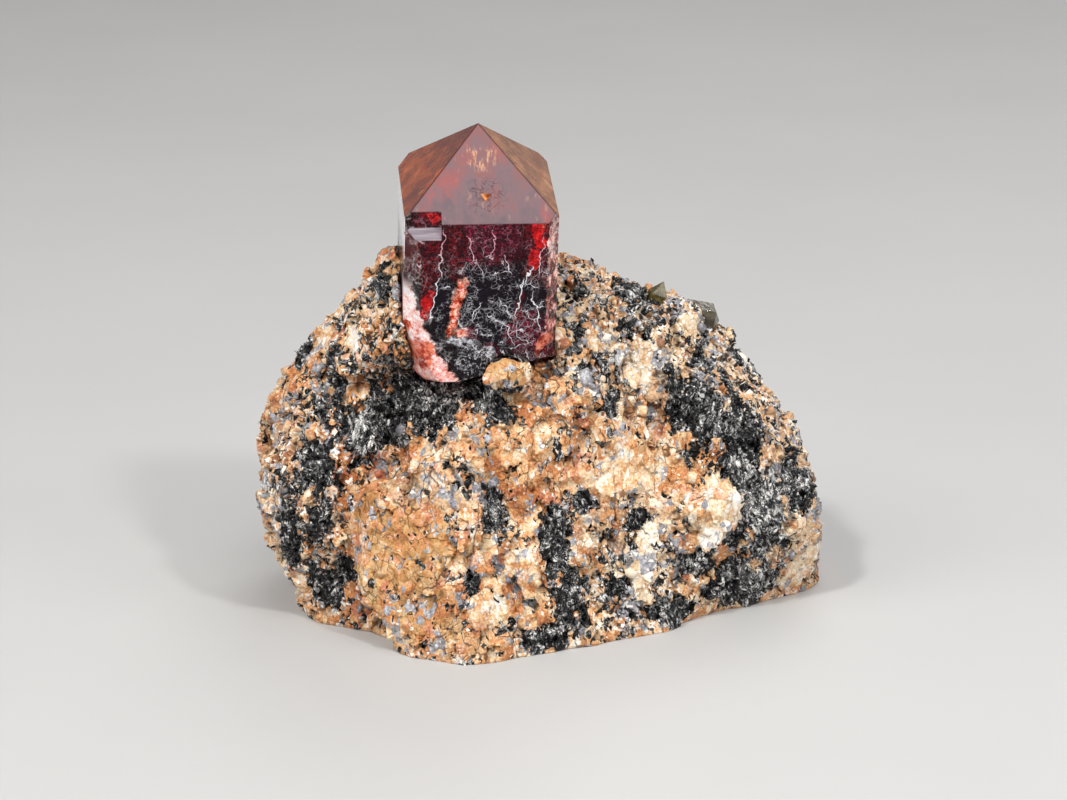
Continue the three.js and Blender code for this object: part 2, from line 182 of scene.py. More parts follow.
CRACKS = (
    (-4.0, -3.2, 0.07, 2.9, 3), (-4.75, -8.2, 0.06, 2.6, 10), (-1.15, -2.7, 0.06, 1.5, -14),
    (1.15, -2.2, 0.05, 1.5, -2), (2.5, -4.4, 0.05, 1.3, -28), (3.85, -8.2, 0.07, 2.2, 8),
    (4.6, -5.9, 0.06, 1.2, 24), (2.9, -12.0, 0.06, 1.6, -24), (5.6, -9.6, 0.06, 2.3, -14),
    (5.9, -3.6, 0.05, 2.4, 6), (-0.5, -9.4, 0.05, 1.3, 30),
)
TANGLES = (
    (0.6, -5.4, 2.6, 1.2, 0), (-1.0, -10.6, 1.5, 2.0, 20), (3.9, -11.4, 1.6, 2.6, -10),
    (5.2, -6.6, 1.4, 1.2, 0), (-6.3, -5.0, 0.7, 3.6, 0), (-3.7, -5.0, 0.6, 2.2, 0),
    (2.0, -8.0, 1.5, 1.0, 30),
)
SOOT = ((-1.0, -15.2, 1.75, 1.95, 0), (-0.4, -16.3, 1.5, 1.2, 0))
ASH = ((-1.9, -13.0, 1.45, 0.55, 8), (0.55, -14.4, 0.9, 0.8, 0))
WINE = (
    (5.4, -12.4, 2.2, 2.2, 0), (0.6, -1.6, 4.2, 2.2, 0), (-1.2, -12.4, 0.8, 0.7, 0),
    (1.0, -14.0, 0.8, 0.6, 0),
)
# Painted highlights on the front of the point.
GOLD_HIGHLIGHTS = ((0.4, 4.7, 1.6, 0.8, 0), (-0.9, 5.0, 0.6, 0.7, 0))
BLUSH = ((-5.1, 2.0, 0.3, 0.7, 0), (-3.2, 2.8, 0.9, 0.9, 0), (6.3, 0.5, 0.5, 0.8, 0))

# Camera and lights.
CAMERA_TARGET = (-0.84, -1.11, 22.0)
CAMERA_RISE = 18.0
LIGHTS = (
    # name, bearing (0 is in front, positive to the right), rise, distance, size, radiance, tint
    ("overhead_softbox", 14.0, 61.0, 560.0, (250.0, 230.0), 5.0, (1.0, 0.99, 0.98)),
    ("left_softbox", -58.0, 34.0, 600.0, (300.0, 360.0), 3.4, (1.0, 0.99, 0.97)),
    ("right_softbox", 62.0, 30.0, 620.0, (300.0, 360.0), 2.8, (0.98, 0.99, 1.0)),
    ("left_lamp", -32.0, 50.0, 620.0, (60.0, 60.0), 172.0, (1.0, 0.99, 0.97)),
    ("right_lamp", 38.0, 42.0, 620.0, (60.0, 60.0), 124.0, (1.0, 0.99, 0.98)),
    ("back_softbox", 160.0, 50.0, 640.0, (420.0, 300.0), 3.0, (1.0, 1.0, 1.0)),
)


def paint(red, green, blue):
    """The linear colour of a swatch given from 0 to 255."""

    def straight(value):
        value /= 255.0
        return value / 12.92 if value <= 0.04045 else ((value + 0.055) / 1.055) ** 2.4

    return (straight(red), straight(green), straight(blue))


# ---- Settings --------------------------------------------------------------------------------


def span(label, description, default, least):
    """A length that a user may change."""
    return FloatProperty(name=label, description=description, default=default, min=least, unit="LENGTH")


def tally(label, description, default, least):
    """A number of things that a user may change."""
    return IntProperty(name=label, description=description, default=default, min=least)


def tint(label, description, default):
    """A colour that a user may change."""
    return FloatVectorProperty(name=label, description=description, subtype="COLOR", default=default)


class RockSettings(bpy.types.PropertyGroup):
    """Sizes and colours of the rock."""

    mesh_size: span("Mesh Size", "Side of the faces that the grain is raised from", 0.19 * MM, 0.1 * MM)
    faces: tally("Faces", "Triangles left in the rock", 190000, 1000)
    grain_size: span("Grain Size", "Width of a usual grain", 1.9 * MM, 0.5 * MM)
    flake_books: tally("Biotite Books", "Number of stacks of biotite flakes", 2100, 1)
    feldspar_grains: tally("Feldspar Grains", "Number of loose-edged feldspar grains", 900, 1)
    quartz_grains: tally("Quartz Grains", "Number of standing quartz grains", 320, 1)
    rust: tint("Rust", "Deepest feldspar stain", paint(172, 100, 54))
    orange: tint("Orange", "Usual feldspar", paint(214, 142, 82))
    tan: tint("Tan", "Lighter feldspar", paint(230, 182, 130))
    cream: tint("Cream", "Palest feldspar", paint(240, 220, 190))
    chalk: tint("Chalk", "White crumbled feldspar", paint(250, 244, 234))
    brick: tint("Brick", "Deepest pink feldspar", paint(188, 104, 74))
    salmon: tint("Salmon", "Pink feldspar", paint(216, 146, 108))
    flesh: tint("Flesh", "Pale pink feldspar", paint(236, 194, 164))
    umber: tint("Umber", "Deepest yellow stain", paint(150, 106, 52))
    straw: tint("Straw", "Pale yellow stain", paint(230, 200, 140))
    ochre: tint("Ochre", "Yellow stain", paint(202, 148, 84))
    drab: tint("Drab", "Deepest greyish feldspar", paint(122, 100, 78))
    buff: tint("Buff", "Greyish feldspar", paint(198, 172, 140))
    # Colour of the painted shade in the gaps between grains.
    shade: tint("Shade", "Dirt in the gaps", paint(84, 58, 40))
    quartz: tint("Quartz", "Bluish grey quartz", paint(124, 121, 126))
    biotite: tint("Biotite", "Black mica", paint(20, 20, 22))


class CrystalSettings(bpy.types.PropertyGroup):
    """Finish of the crystals."""

    edge: span("Edge Wear", "Width of the worn edges", 0.1 * MM, 0.0)
    ior: FloatProperty(name="IOR", description="Bend of light in zircon", default=1.93, min=1.0)
    sheen: tint("Gloss Tint", "Colour of its reflections", (0.15, 0.11, 0.13))
    density: FloatProperty(
        name="Absorption", description="How quickly light is lost, per metre", default=1250.0, min=0.0
    )
    red: tint("Body Red", "Colour that passes through", (0.9, 0.03, 0.07))
    veil: tint("Veil", "Fine surface cracks", paint(228, 226, 232))


class StageSettings(bpy.types.PropertyGroup):
    """Camera, floor and lights."""

    distance: span("Camera Distance", "From camera to target", 330 * MM, 0.0)
    lens: FloatProperty(
        name="Lens", description="Focal length on a sensor 36 mm wide", default=105.77, unit="CAMERA"
    )
    floor: tint("Floor", "Pale floor colour", (0.5, 0.497, 0.49))
    sky: tint("Surroundings", "Colour of the room", (0.2, 0.2, 0.205))


# ---- Nodes -----------------------------------------------------------------------------------


class Weave:
    """Adds nodes to a shader or geometry tree. Sockets and plain values may be mixed."""

    def __init__(self, tree):
        self.tree = tree

    def add(self, kind, **settings):
        made = self.tree.nodes.new(kind)
        for name, value in settings.items():
            setattr(made, name, value)
        return made

    def feed(self, socket, value):
        """Links a socket to another, or sets its value; a plain colour may leave out its alpha."""
        if isinstance(value, bpy.types.NodeSocket):
            self.tree.links.new(value, socket)
        elif socket.type == "RGBA" and len(value) == 3:
            socket.default_value = (*value, 1.0)
        else:
            socket.default_value = value

    def math(self, operation, *values):
        made = self.add("ShaderNodeMath", operation=operation)
        for socket, value in zip(made.inputs, values):
            self.feed(socket, value)
        return made.outputs[0]

    def plus(self, *terms):
        """The sum of some values, where a pair is a value and its weight."""
        total, *rest = [self.times(*term) if isinstance(term, tuple) else term for term in terms]
        for value in rest:
            total = self.math("ADD", total, value)
        return total

    def times(self, total, *rest):
        """The product of some values."""
        for value in rest:
            total = self.math("MULTIPLY", total, value)
        return total

    def minus(self, a, b):
        return self.math("SUBTRACT", a, b)

    def most(self, a, b):
        return self.math("MAXIMUM", a, b)

    def least(self, a, b):
        return self.math("MINIMUM", a, b)

    def vector(self, operation, *values):
        made = self.add("ShaderNodeVectorMath", operation=operation)
        for socket, value in zip(made.inputs, values):
            self.feed(socket, value)
        return made.outputs["Value" if operation in ("DOT_PRODUCT", "LENGTH") else "Vector"]

    def scaled(self, value, factor):
        made = self.add("ShaderNodeVectorMath", operation="SCALE")
        self.feed(made.inputs[0], value)
        self.feed(made.inputs["Scale"], factor)
        return made.outputs[0]

    def step(self, value, low, high, start=0.0, end=1.0):
        """A smooth rise from start to end as value goes from low to high."""
        made = self.add("ShaderNodeMapRange", interpolation_type="SMOOTHSTEP")
        for name, given in zip(
            ("Value", "From Min", "From Max", "To Min", "To Max"), (value, low, high, start, end)
        ):
            self.feed(made.inputs[name], given)
        return made.outputs[0]

    def fall(self, value, low, high):
        """A smooth fall from 1 to 0 as value goes from low to high."""
        return self.step(value, low, high, 1.0, 0.0)

    def noise_node(self, at, **settings):
        made = self.add("ShaderNodeTexNoise")
        self.feed(made.inputs["Vector"], at)
        for name, value in settings.items():
            self.feed(made.inputs[name], value)
        return made.outputs

    def noise(self, at, scale, detail=2.0, roughness=0.5):
        return self.noise_node(at, Scale=scale, Detail=detail, Roughness=roughness)[0]

    def drift(self, at, scale, amount, detail=2.0):
        """The point at, pushed about by noise by up to about amount."""
        colour = self.noise_node(at, Scale=scale, Detail=detail)[1]
        push = self.vector("SUBTRACT", colour, (0.5, 0.5, 0.5))
        return self.vector("MULTIPLY_ADD", push, (amount * 2,) * 3, at)

    def cells(self, at, scale, feature="F1"):
        made = self.add("ShaderNodeTexVoronoi", feature=feature)
        self.feed(made.inputs["Vector"], at)
        self.feed(made.inputs["Scale"], scale)
        return made.outputs

    def parts(self, value):
        made = self.add("ShaderNodeSeparateXYZ")
        self.feed(made.inputs[0], value)
        return made.outputs

    def facet(self, at, cell, tilt):
        """Height of the flat tilted top of each cell."""
        lean = self.vector("SUBTRACT", cell[1], (0.5, 0.5, 0.5))
        away = self.vector("SUBTRACT", at, cell[2])
        return self.times(self.vector("DOT_PRODUCT", away, lean), tilt)

    def blend(self, factor, a, b):
        """Colour a, then b as factor goes from 0 to 1."""
        made = self.add("ShaderNodeMix", data_type="RGBA")
        for index, value in ((0, factor), (6, a), (7, b)):
            self.feed(made.inputs[index], value)
        return made.outputs[2]

    def fade(self, factor, a, b):
        """Number a, then b as factor goes from 0 to 1."""
        made = self.add("ShaderNodeMix", data_type="FLOAT")
        for index, value in ((0, factor), (2, a), (3, b)):
            self.feed(made.inputs[index], value)
        return made.outputs[0]

    def ramp(self, value, *stops):
        """Colours along a scale: each stop is (place, colour) or (place, *swatch)."""
        made = self.add("ShaderNodeValToRGB")
        points = made.color_ramp.elements
        for index, (place, *shade) in enumerate(stops):
            colour = paint(*shade) if len(shade) == 3 else shade[0]
            point = points[index] if index < 2 else points.new(place)
            point.position = place
            point.color = (*colour, 1.0)
        self.feed(made.inputs[0], value)
        return made.outputs[0]

    def patches(self, at, rows, soft=0.25):
        """Rounded patches in the XZ plane: 1 inside any of them, 0 outside."""
        # Single numbers take less of the shader's small memory than vectors.
        x, _, z = self.parts(at)
        nearest = 1e6  # farther than any patch
        for across, height, half_width, half_height, lean in rows:
            cos, sin = math.cos(math.radians(lean)), math.sin(math.radians(lean))
            away = 0.0
            for along_x, along_z, half in ((cos, -sin, half_width), (sin, cos, half_height)):
                start = -(across * along_x + height * along_z) / half
                part = self.math("MULTIPLY_ADD", z, along_z / half, start)
                part = self.math("MULTIPLY_ADD", x, along_x / half, part)
                away = self.math("MULTIPLY_ADD", part, part, away)
            nearest = self.least(nearest, away)
        return self.fall(self.math("SQRT", nearest), 1.0 - soft / 2, 1.0 + soft / 2)

    def spots(self, at, rows, soft, value, *bounds):
        """Patches that come and go with a smooth step of value between bounds."""
        return self.times(self.patches(at, rows, soft), self.step(value, *bounds))

    def hairs(self, at, scale, width, shift, curl=0.42):
        """Thin crossing lines, where the cells of a bent grid meet."""
        moved = self.vector("ADD", at, (shift, shift * 0.7, shift * 1.3))
        moved = self.drift(moved, 1.6 * scale, curl / scale, 3.0)
        edge = self.cells(moved, scale, "DISTANCE_TO_EDGE")[0]
        return self.fall(edge, width * scale * 0.3, width * scale)

    def stored(self, name, kind="FLOAT"):
        """A value that the mesh holds under name."""
        if self.tree.bl_idname == "GeometryNodeTree":
            made = self.add("GeometryNodeInputNamedAttribute", data_type=kind)
            made.inputs["Name"].default_value = name
            return made.outputs["Attribute"]
        made = self.add("ShaderNodeAttribute", attribute_name=name)
        return made.outputs["Vector" if kind == "FLOAT_VECTOR" else "Fac"]

    def zone(self, name, at, low, high):
        """A zone with a ragged edge: 1 inside it, 0 outside."""
        ragged = self.times(self.noise(at, 0.34, 4.0, 0.62), ZONE_WAVER)
        return self.step(self.plus(self.stored(name), ragged, -0.5 * ZONE_WAVER), low, high)

    def bump(self, height):
        """The normal of a surface that stands height millimetres proud."""
        made = self.add("ShaderNodeBump")
        made.inputs["Distance"].default_value = MM
        self.feed(made.inputs["Height"], height)
        return made.outputs[0]


def new_material(name):
    """A material with a Principled shader: returns it, its node builder and the shader's inputs."""
    material = bpy.data.materials.new(name)
    material.use_nodes = True
    shader = next(node for node in material.node_tree.nodes if node.type == "BSDF_PRINCIPLED")
    return material, Weave(material.node_tree), shader.inputs


def coat(w, shader, colour, roughness, height):
    """Gives a shader its colour, its roughness and its height in millimetres."""
    w.feed(shader["Base Color"], colour)
    w.feed(shader["Roughness"], roughness)
    w.feed(shader["Normal"], w.bump(height))


# ---- The rock's grain ------------------------------------------------------------------------


def rock_pattern(w, at, grain_size):
    """What the rock is at a point and how high it stands there, in millimetres."""
    leaning = w.vector("MULTIPLY", w.drift(at, 0.5, 0.45, 3.0), (1.15, 1.0, 0.85))
    grain = w.cells(leaning, 1.0 / grain_size)
    crumb = w.cells(leaning, CRUMBS / grain_size)
    grain_dice = w.parts(grain[1])
    crumb_dice = w.parts(crumb[1])
    clump = w.noise(leaning, 0.34, 4.0, 0.62)
    speck = w.noise(leaning, 0.9, 2.0)
    pale = w.zone("pale_zone", at, -0.1, 0.3)
    smooth = w.zone("ochre_zone", at, -0.1, 0.3)
    speckled = w.step(w.stored("speckled_zone"), -0.2, 0.3)
    # Biotite fills its zones, and dots the rest in clumps.
    in_zone = w.plus(
        w.times(w.stored("mica_zone"), 0.46), (clump, 1.5), (crumb_dice[0], 0.12), (pale, -0.6),
        (smooth, -0.35), -0.82,
    )
    dots = w.plus(
        (crumb_dice[0], 0.5), (clump, 0.95), (speck, 0.8), (speckled, 0.16), (pale, -0.3),
        (smooth, -0.07), -1.395,
    )
    mica = w.step(w.most(in_zone, dots), -0.012, 0.02)
    glassy = w.plus(
        w.times(crumb_dice[1], 0.4), w.times(grain_dice[1], 0.45), w.times(speck, -0.7),
        w.times(w.step(w.stored("buff_zone"), -0.2, 0.4), 0.1), -0.315,
    )
    quartz = w.times(w.step(glassy, -0.01, 0.015), w.minus(1.0, mica))
    # Every grain has a flat top of its own, and so has every crumb of it.
    height = w.plus(
        w.facet(leaning, grain, 0.6), w.times(grain_dice[2], 0.24), w.facet(leaning, crumb, 0.2),
        w.times(crumb_dice[2], 0.07), w.times(w.noise(at, 0.22, 2.0), 0.9),
        w.times(mica, w.times(crumb_dice[1], -0.4)), -0.61,
    )
    height = w.times(height, w.fade(w.most(pale, smooth), 1.0, 0.45))
    return {
        "leaning": leaning,
        "mica": mica,
        "quartz": quartz,
        "grain": grain_dice,
        "crumb": crumb_dice,
        "height": height,
        "pale": pale,
        "smooth": smooth,
        "speckled": speckled,
    }


def feldspar_colour(w, at, tone, rock):
    """Orange to white feldspar: broad stains, then blotches, then fine mottling."""
    stain = w.noise(at, 0.15, 3.0)
    mottle = w.noise(at, 0.8, 6.0, 0.74)
    grit = w.noise(at, 4.2, 2.0, 0.6)
    calm = w.zone("ochre_zone", at, -0.2, 0.3)
    value = w.plus(
        w.times(stain, 0.7), w.times(mottle, 1.15),
        w.times(w.plus(grit, -0.5), w.fade(calm, 1.05, 0.6)),
        w.times(w.plus(tone, -0.5), w.fade(calm, 0.72, 0.45)),
        w.times(w.zone("pale_zone", at, -0.4, 0.4), 0.24), (calm, -0.06), -0.525,
    )
    orange = w.ramp(
        value, (0.0, rock.rust), (0.26, rock.orange), (0.5, rock.tan), (0.74, rock.cream),
        (1.0, rock.chalk),
    )
    pink = w.ramp(
        value, (0.0, rock.brick), (0.26, rock.salmon), (0.5, rock.flesh), (0.74, rock.chalk),
        (1.0, 255, 255, 255),
    )
    yellow = w.ramp(value, (0.0, rock.umber), (0.36, rock.ochre), (0.78, rock.straw), (1.0, rock.chalk))
    hue = w.noise(w.vector("ADD", at, (31.0, 7.0, 13.0)), 0.45, 4.0, 0.6)
    stone = w.blend(w.step(hue, 0.53, 0.62), orange, pink)
    ochre = w.plus(w.times(w.zone("ochre_zone", at, -0.4, 0.5), 0.15), (hue, -1.0), 0.4)
    stone = w.blend(w.step(ochre, -0.03, 0.08, 0.0, 0.85), stone, yellow)
    buff = w.ramp(value, (0.0, rock.drab), (0.3, rock.buff), (0.62, rock.cream), (0.95, rock.chalk))
    grey = w.plus(w.times(w.zone("buff_zone", at, -0.3, 0.4), 0.5), w.step(hue, 0.34, 0.46, 0.5, 0.12))
    return w.blend(grey, stone, buff)


def mica_run(w, at):
    """Space stretched along the bending run of the biotite's leaves."""
    run = w.add("ShaderNodeMapping")
    run.inputs["Rotation"].default_value = (0.3, math.radians(35), 0.0)
    run.inputs["Scale"].default_value = (2.4, 1.8, 0.8)
    w.feed(run.inputs["Vector"], w.drift(at, 0.45, 1.3, 3.0))
    return run.outputs[0]


def mica_colour_and_sheen(w, at, run, tone, rock):
    """Black mica, with silvery leaves and thin pale lines where its leaves end: painted sheen and
    painted highlights.
    """
    curl = w.noise(run, 0.4, 3.0)
    ends = w.fall(w.math("PINGPONG", w.times(curl, 13.0), 0.5), 0.0, 0.14)
    splinters = w.fall(w.cells(run, 1.5, "DISTANCE_TO_EDGE")[0], 0.02, 0.09)
    lines = w.times(w.most(ends, splinters), w.step(w.noise(at, 1.7, 3.0), 0.44, 0.6))
    # The greys and silvers here are painted sheen, the pale lines painted highlights.
    shine = w.plus(
        w.times(w.step(tone, 0.2, 0.9), 0.5), w.times(w.noise(run, 1.35, 4.0, 0.7), 2.3),
        w.times(w.noise(at, 0.3, 3.0), 1.4), w.times(w.noise(at, 4.5, 2.0), 0.9), w.times(lines, 0.5),
        w.times(w.step(w.stored("silver_sheen_zone"), -0.2, 0.4), 0.24), -2.16,
    )
    return w.ramp(
        shine,
        (0.0, [c * 0.1 for c in rock.biotite]), (0.3, [c * 0.8 for c in rock.biotite]),
        (0.48, 62, 62, 63), (0.66, 126, 125, 125), (0.84, 186, 184, 181), (1.0, 238, 235, 230),
    )


def quartz_colour(w, at, tone, rock):
    """Grey glassy quartz, whitened where it is cracked."""
    value = w.plus(w.times(tone, 0.55), w.times(w.noise(at, 2.6, 5.0, 0.72), 1.5), -0.55)
    return w.ramp(
        value,
        (0.0, [c * 0.3 for c in rock.quartz]), (0.36, rock.quartz),
        (0.66, 172, 171, 176), (0.95, 236, 234, 232),
    )


def rock_material(rock):
    """Feldspar, quartz and biotite in one broken surface."""
    material, w, shader = new_material("Feldspar and Biotite Rock")
    at = w.scaled(w.stored("rest", "FLOAT_VECTOR"), 1 / MM)
    found = rock_pattern(w, at, rock.grain_size / MM)
    tone = w.fade(0.6, found["grain"][0], found["crumb"][1])
    colour = feldspar_colour(w, at, tone, rock)
    colour = w.blend(found["quartz"], colour, quartz_colour(w, at, tone, rock))
    # Fine dark gaps run between some of the crumbs and longer crevices bend through them all, as
    # painted shade; black crumbs too small for the mesh lie in clumps.
    gap_shade = w.cells(found["leaning"], CRUMBS * MM / rock.grain_size, "DISTANCE_TO_EDGE")[0]
    where = w.noise(at, 0.7, 3.0)
    gap_shade = w.times(w.fall(gap_shade, 0.015, 0.06), w.step(where, 0.5, 0.58, 0.0, 0.7))
    crevice = w.hairs(found["leaning"], 0.2, 0.13, 3.0)
    gap_shade = w.most(gap_shade, w.times(crevice, w.step(w.noise(at, 0.31), 0.48, 0.56, 0.0, 0.8)))
    gap_shade = w.times(gap_shade, w.fade(found["pale"], 1.0, 0.55))
    fleck = w.cells(w.drift(at, 1.3, 0.3), 3.1)
    fleck_dice = w.parts(fleck[1])
    crumbs = w.plus(
        (fleck_dice[2], 0.5), (where, 1.2), (found["speckled"], 0.1), (found["pale"], -0.2),
        (found["smooth"], -0.08), -1.13,
    )
    whites = w.plus(fleck_dice[0], (found["speckled"], 0.12), (found["smooth"], -0.04), -0.94)
    whites = w.step(whites, 0.0, 0.02, 0.0, 0.85)
    colour = w.blend(whites, colour, rock.chalk)
    colour = w.blend(gap_shade, colour, rock.shade)
    colour = w.blend(w.step(crumbs, 0.0, 0.02, 0.0, 0.92), colour, [c * 1.4 for c in rock.biotite])
    run = mica_run(w, at)
    leaf_dice = w.parts(w.cells(run, 1.7)[1])
    # Between the standing leaves the biotite is darker: painted shade.
    under = w.plus((leaf_dice[0], 0.9), -0.13)
    colour = w.blend(found["mica"], colour, mica_colour_and_sheen(w, at, run, under, rock))
    # Deep places between grains are darkened as painted shade.
    shaded = w.add("ShaderNodeVectorMath", operation="SCALE")
    w.feed(shaded.inputs[0], colour)
    w.feed(shaded.inputs["Scale"], w.step(found["height"], -0.5, -0.1, 0.55, 1.0))
    matte = w.fade(found["quartz"], w.step(found["crumb"][1], 0.1, 0.9, 0.34, 0.7), 0.16)
    glossy = w.step(leaf_dice[1], 0.0, 1.0, 0.14, 0.36)
    roughness = w.fade(found["mica"], matte, glossy)
    fine = w.plus(
        w.times(found["height"], 0.3),
        w.times(w.facet(w.drift(at, 1.3, 0.3), fleck, 0.4), w.minus(1.0, found["mica"])),
        w.times(leaf_dice[2], 0.12, found["mica"]), w.times(w.noise(at, 2.0, 5.0, 0.66), 0.2),
        (gap_shade, -0.06),
    )
    coat(w, shader, shaded.outputs[0], roughness, fine)
    shader["Specular IOR Level"].default_value = 0.32
    return material


def relief_tree(rock):
    """Geometry nodes that raise the rock's grains and note where the minerals are."""
    tree = bpy.data.node_groups.new("Rock Relief", "GeometryNodeTree")
    tree.is_modifier = True
    tree.interface.new_socket(name="Geometry", in_out="INPUT", socket_type="NodeSocketGeometry")
    tree.interface.new_socket(name="Geometry", in_out="OUTPUT", socket_type="NodeSocketGeometry")
    w = Weave(tree)
    rest = w.add("GeometryNodeInputPosition").outputs[0]
    at = w.scaled(rest, 1 / MM)
    found = rock_pattern(w, at, rock.grain_size / MM)
    geometry = w.add("NodeGroupInput").outputs[0]
    for name, kind, value in (
        ("rest", "FLOAT_VECTOR", rest),
        ("mica", "FLOAT", found["mica"]),
        ("quartz", "FLOAT", found["quartz"]),
    ):
        store = w.add("GeometryNodeStoreNamedAttribute", data_type=kind, domain="POINT")
        w.feed(store.inputs["Geometry"], geometry)
        store.inputs["Name"].default_value = name
        w.feed(store.inputs["Value"], value)
        geometry = store.outputs[0]
    # The cut base stays flat.
    grip = w.step(w.parts(at)[2], 0.1, 1.4)
    rise = w.times(found["height"], grip, MM)
    push = w.add("ShaderNodeVectorMath", operation="SCALE")
    w.feed(push.inputs[0], w.add("GeometryNodeInputNormal").outputs[0])
    w.feed(push.inputs["Scale"], rise)
    move = w.add("GeometryNodeSetPosition")
    w.feed(move.inputs["Geometry"], geometry)
    w.feed(move.inputs["Offset"], push.outputs[0])
    w.feed(w.add("NodeGroupOutput").inputs[0], move.outputs[0])
    return tree


# ---- Meshes ----------------------------------------------------------------------------------


def linked(name, data):
    """A new object in the scene."""
    made = bpy.data.objects.new(name, data)
    bpy.context.scene.collection.objects.link(made)
    return made


def merged_copy(node, name):
    """A new object with the mesh of a fixed node, its loose triangles joined."""
    mesh = bpy.data.meshes.new(name)
    build = bmesh.new()
    build.from_mesh(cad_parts[node].data)
    bmesh.ops.remove_doubles(build, verts=build.verts, dist=1e-7)
    build.to_mesh(mesh)
    build.free()
    return linked(name, mesh)


def settle(made):
    """Applies an object's modifiers to its mesh, and leaves none."""
    bpy.context.view_layer.update()
    graph = bpy.context.evaluated_depsgraph_get()
    mesh = bpy.data.meshes.new_from_object(made.evaluated_get(graph))
    made.modifiers.clear()
    old = made.data
    made.data = mesh
    bpy.data.meshes.remove(old)
    mesh.name = made.name


def read(items, name, kind=np.int32, width=1):
    """One property of every item, which may be width numbers each."""
    found = np.empty(len(items) * width, kind)
    items.foreach_get(name, found)
    return found if width == 1 else found.reshape(-1, width)


def points(mesh):
    return read(mesh.vertices, "co", np.float32, 3)


def values(mesh, name):
    return read(mesh.attributes[name].data, "value", np.float32)


def note(mesh, name, found):
    """Stores a number at every point of a mesh."""
    layer = mesh.attributes.new(name, "FLOAT", "POINT")
    layer.data.foreach_set("value", found.astype(np.float32))


def note_zones(mesh, *names):
    """Stores how deep in each kind of zone a point is: 1 in its middle, 0 at its edge, -1 far out."""
    at = points(mesh) / MM
    for name in names:
        depth = np.full(len(at), -1.0)
        for row in np.array(ZONES[name]):
            away = np.linalg.norm((at - row[:3]) / row[3:], axis=1)
            depth = np.maximum(depth, 1.0 - away)
        note(mesh, name, depth)


def finished(made, material, slot, *nodes):
    """Gives a piece its material, its body and the nodes it stands for. Its slot is not used."""
    made.data.materials.clear()
    made.data.materials.append(material)
    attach(made, "root")
    if nodes:
        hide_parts(*nodes)


# ---- Grains that stand on the rock -----------------------------------------------------------


class Ground:
    """The finished rock's surface, to sow grains on."""

    def __init__(self, mesh):
        mesh.calc_loop_triangles()
        self.corners = read(mesh.loop_triangles, "vertices", width=3)
        self.at = points(mesh)
        a, b, c = (self.at[self.corners[:, i]] for i in range(3))
        across = np.cross(b - a, c - a)
        area = np.linalg.norm(across, axis=1)
        self.normals = across / np.maximum(area, 1e-12)[:, None]
        # Nothing stands on the cut base or right at its rim.
        area[(a[:, 2] + b[:, 2] + c[:, 2]) / 3 < RIM] = 0.0
        self.area = area
        self.tree = BVHTree.FromPolygons(self.at.tolist(), self.corners.tolist())

    def sow(self, dice, count, weight):
        """Points on the surface and its directions there, thickest where weight is high."""
        share = self.area * weight[self.corners].mean(axis=1)
        picked = dice.choice(len(share), size=count, p=share / share.sum())
        u, v = dice.random((2, count))
        fold = u + v > 1
        u[fold], v[fold] = 1 - u[fold], 1 - v[fold]
        a, b, c = (self.at[self.corners[picked, i]] for i in range(3))
        spots = a + (b - a) * u[:, None] + (c - a) * v[:, None]
        return spots, self.normals[picked]

    def nearest(self, spots):
        """The nearest points of the surface and its directions there."""
        found = [self.tree.find_nearest(spot)[:2] for spot in spots.tolist()]
        return np.array([place for place, _ in found]), np.array([normal for _, normal in found])


def turned_to(direction, along):
    """Rotations that take Z to each direction and X as near to along as they can."""
    z = direction / np.linalg.norm(direction, axis=1)[:, None]
    x = along - z * np.sum(along * z, axis=1)[:, None]
    x /= np.linalg.norm(x, axis=1)[:, None]
    return np.stack([x, np.cross(z, x), z], axis=2)


def joined(name, shapes, kinds, turns, sizes, spots, tone):
    """One mesh of many copies: kinds picks a shape for each, tone is kept for its colour."""
    copies, base = [], 0
    for kind, shape in enumerate(shapes):
        here = np.flatnonzero(kinds == kind)
        co = points(shape)
        placed = np.einsum("nij,nkj->nki", turns[here], co[None] * sizes[here][:, None, :])
        placed += spots[here][:, None, :]
        steps = base + np.arange(len(here)) * len(co)
        loops = read(shape.loops, "vertex_index")[None] + steps[:, None]
        counts = np.tile(read(shape.polygons, "loop_total"), len(here))
        copies.append((placed.reshape(-1, 3), loops.ravel(), counts, np.repeat(tone[here], len(co))))
        base += len(here) * len(co)
    co, loops, counts, tones = (np.concatenate(part) for part in zip(*copies))
    mesh = bpy.data.meshes.new(name)
    mesh.vertices.add(len(co))
    mesh.vertices.foreach_set("co", co.clip(*CAD_BOX).astype(np.float32).ravel())
    mesh.loops.add(len(loops))
    mesh.loops.foreach_set("vertex_index", loops.astype(np.int32))
    mesh.polygons.add(len(counts))
    starts = np.concatenate([[0], np.cumsum(counts)[:-1]]).astype(np.int32)
    mesh.polygons.foreach_set("loop_start", starts)
    note(mesh, "tone", tones)
    mesh.update(calc_edges=True)
    mesh.validate()
    return linked(name, mesh)


def struck(build, planes):
    """Breaks pieces off a closed bmesh: each plane is (point, direction that is lost)."""
    for point, lost in planes:
        cut = bmesh.ops.bisect_plane(
            build, geom=build.verts[:] + build.edges[:] + build.faces[:], plane_co=point, plane_no=lost,
            clear_outer=True,
        )
        rim = [item for item in cut["geom_cut"] if isinstance(item, bmesh.types.BMEdge)]
        if rim:
            bmesh.ops.edgeloop_fill(build, edges=rim)


def shape_mesh(build, name):
    """A mesh of a bmesh, which is used up, with its faces pointing outwards."""
    bmesh.ops.recalc_face_normals(build, faces=build.faces)
    mesh = bpy.data.meshes.new(name)
    build.to_mesh(mesh)
    build.free()
    return mesh


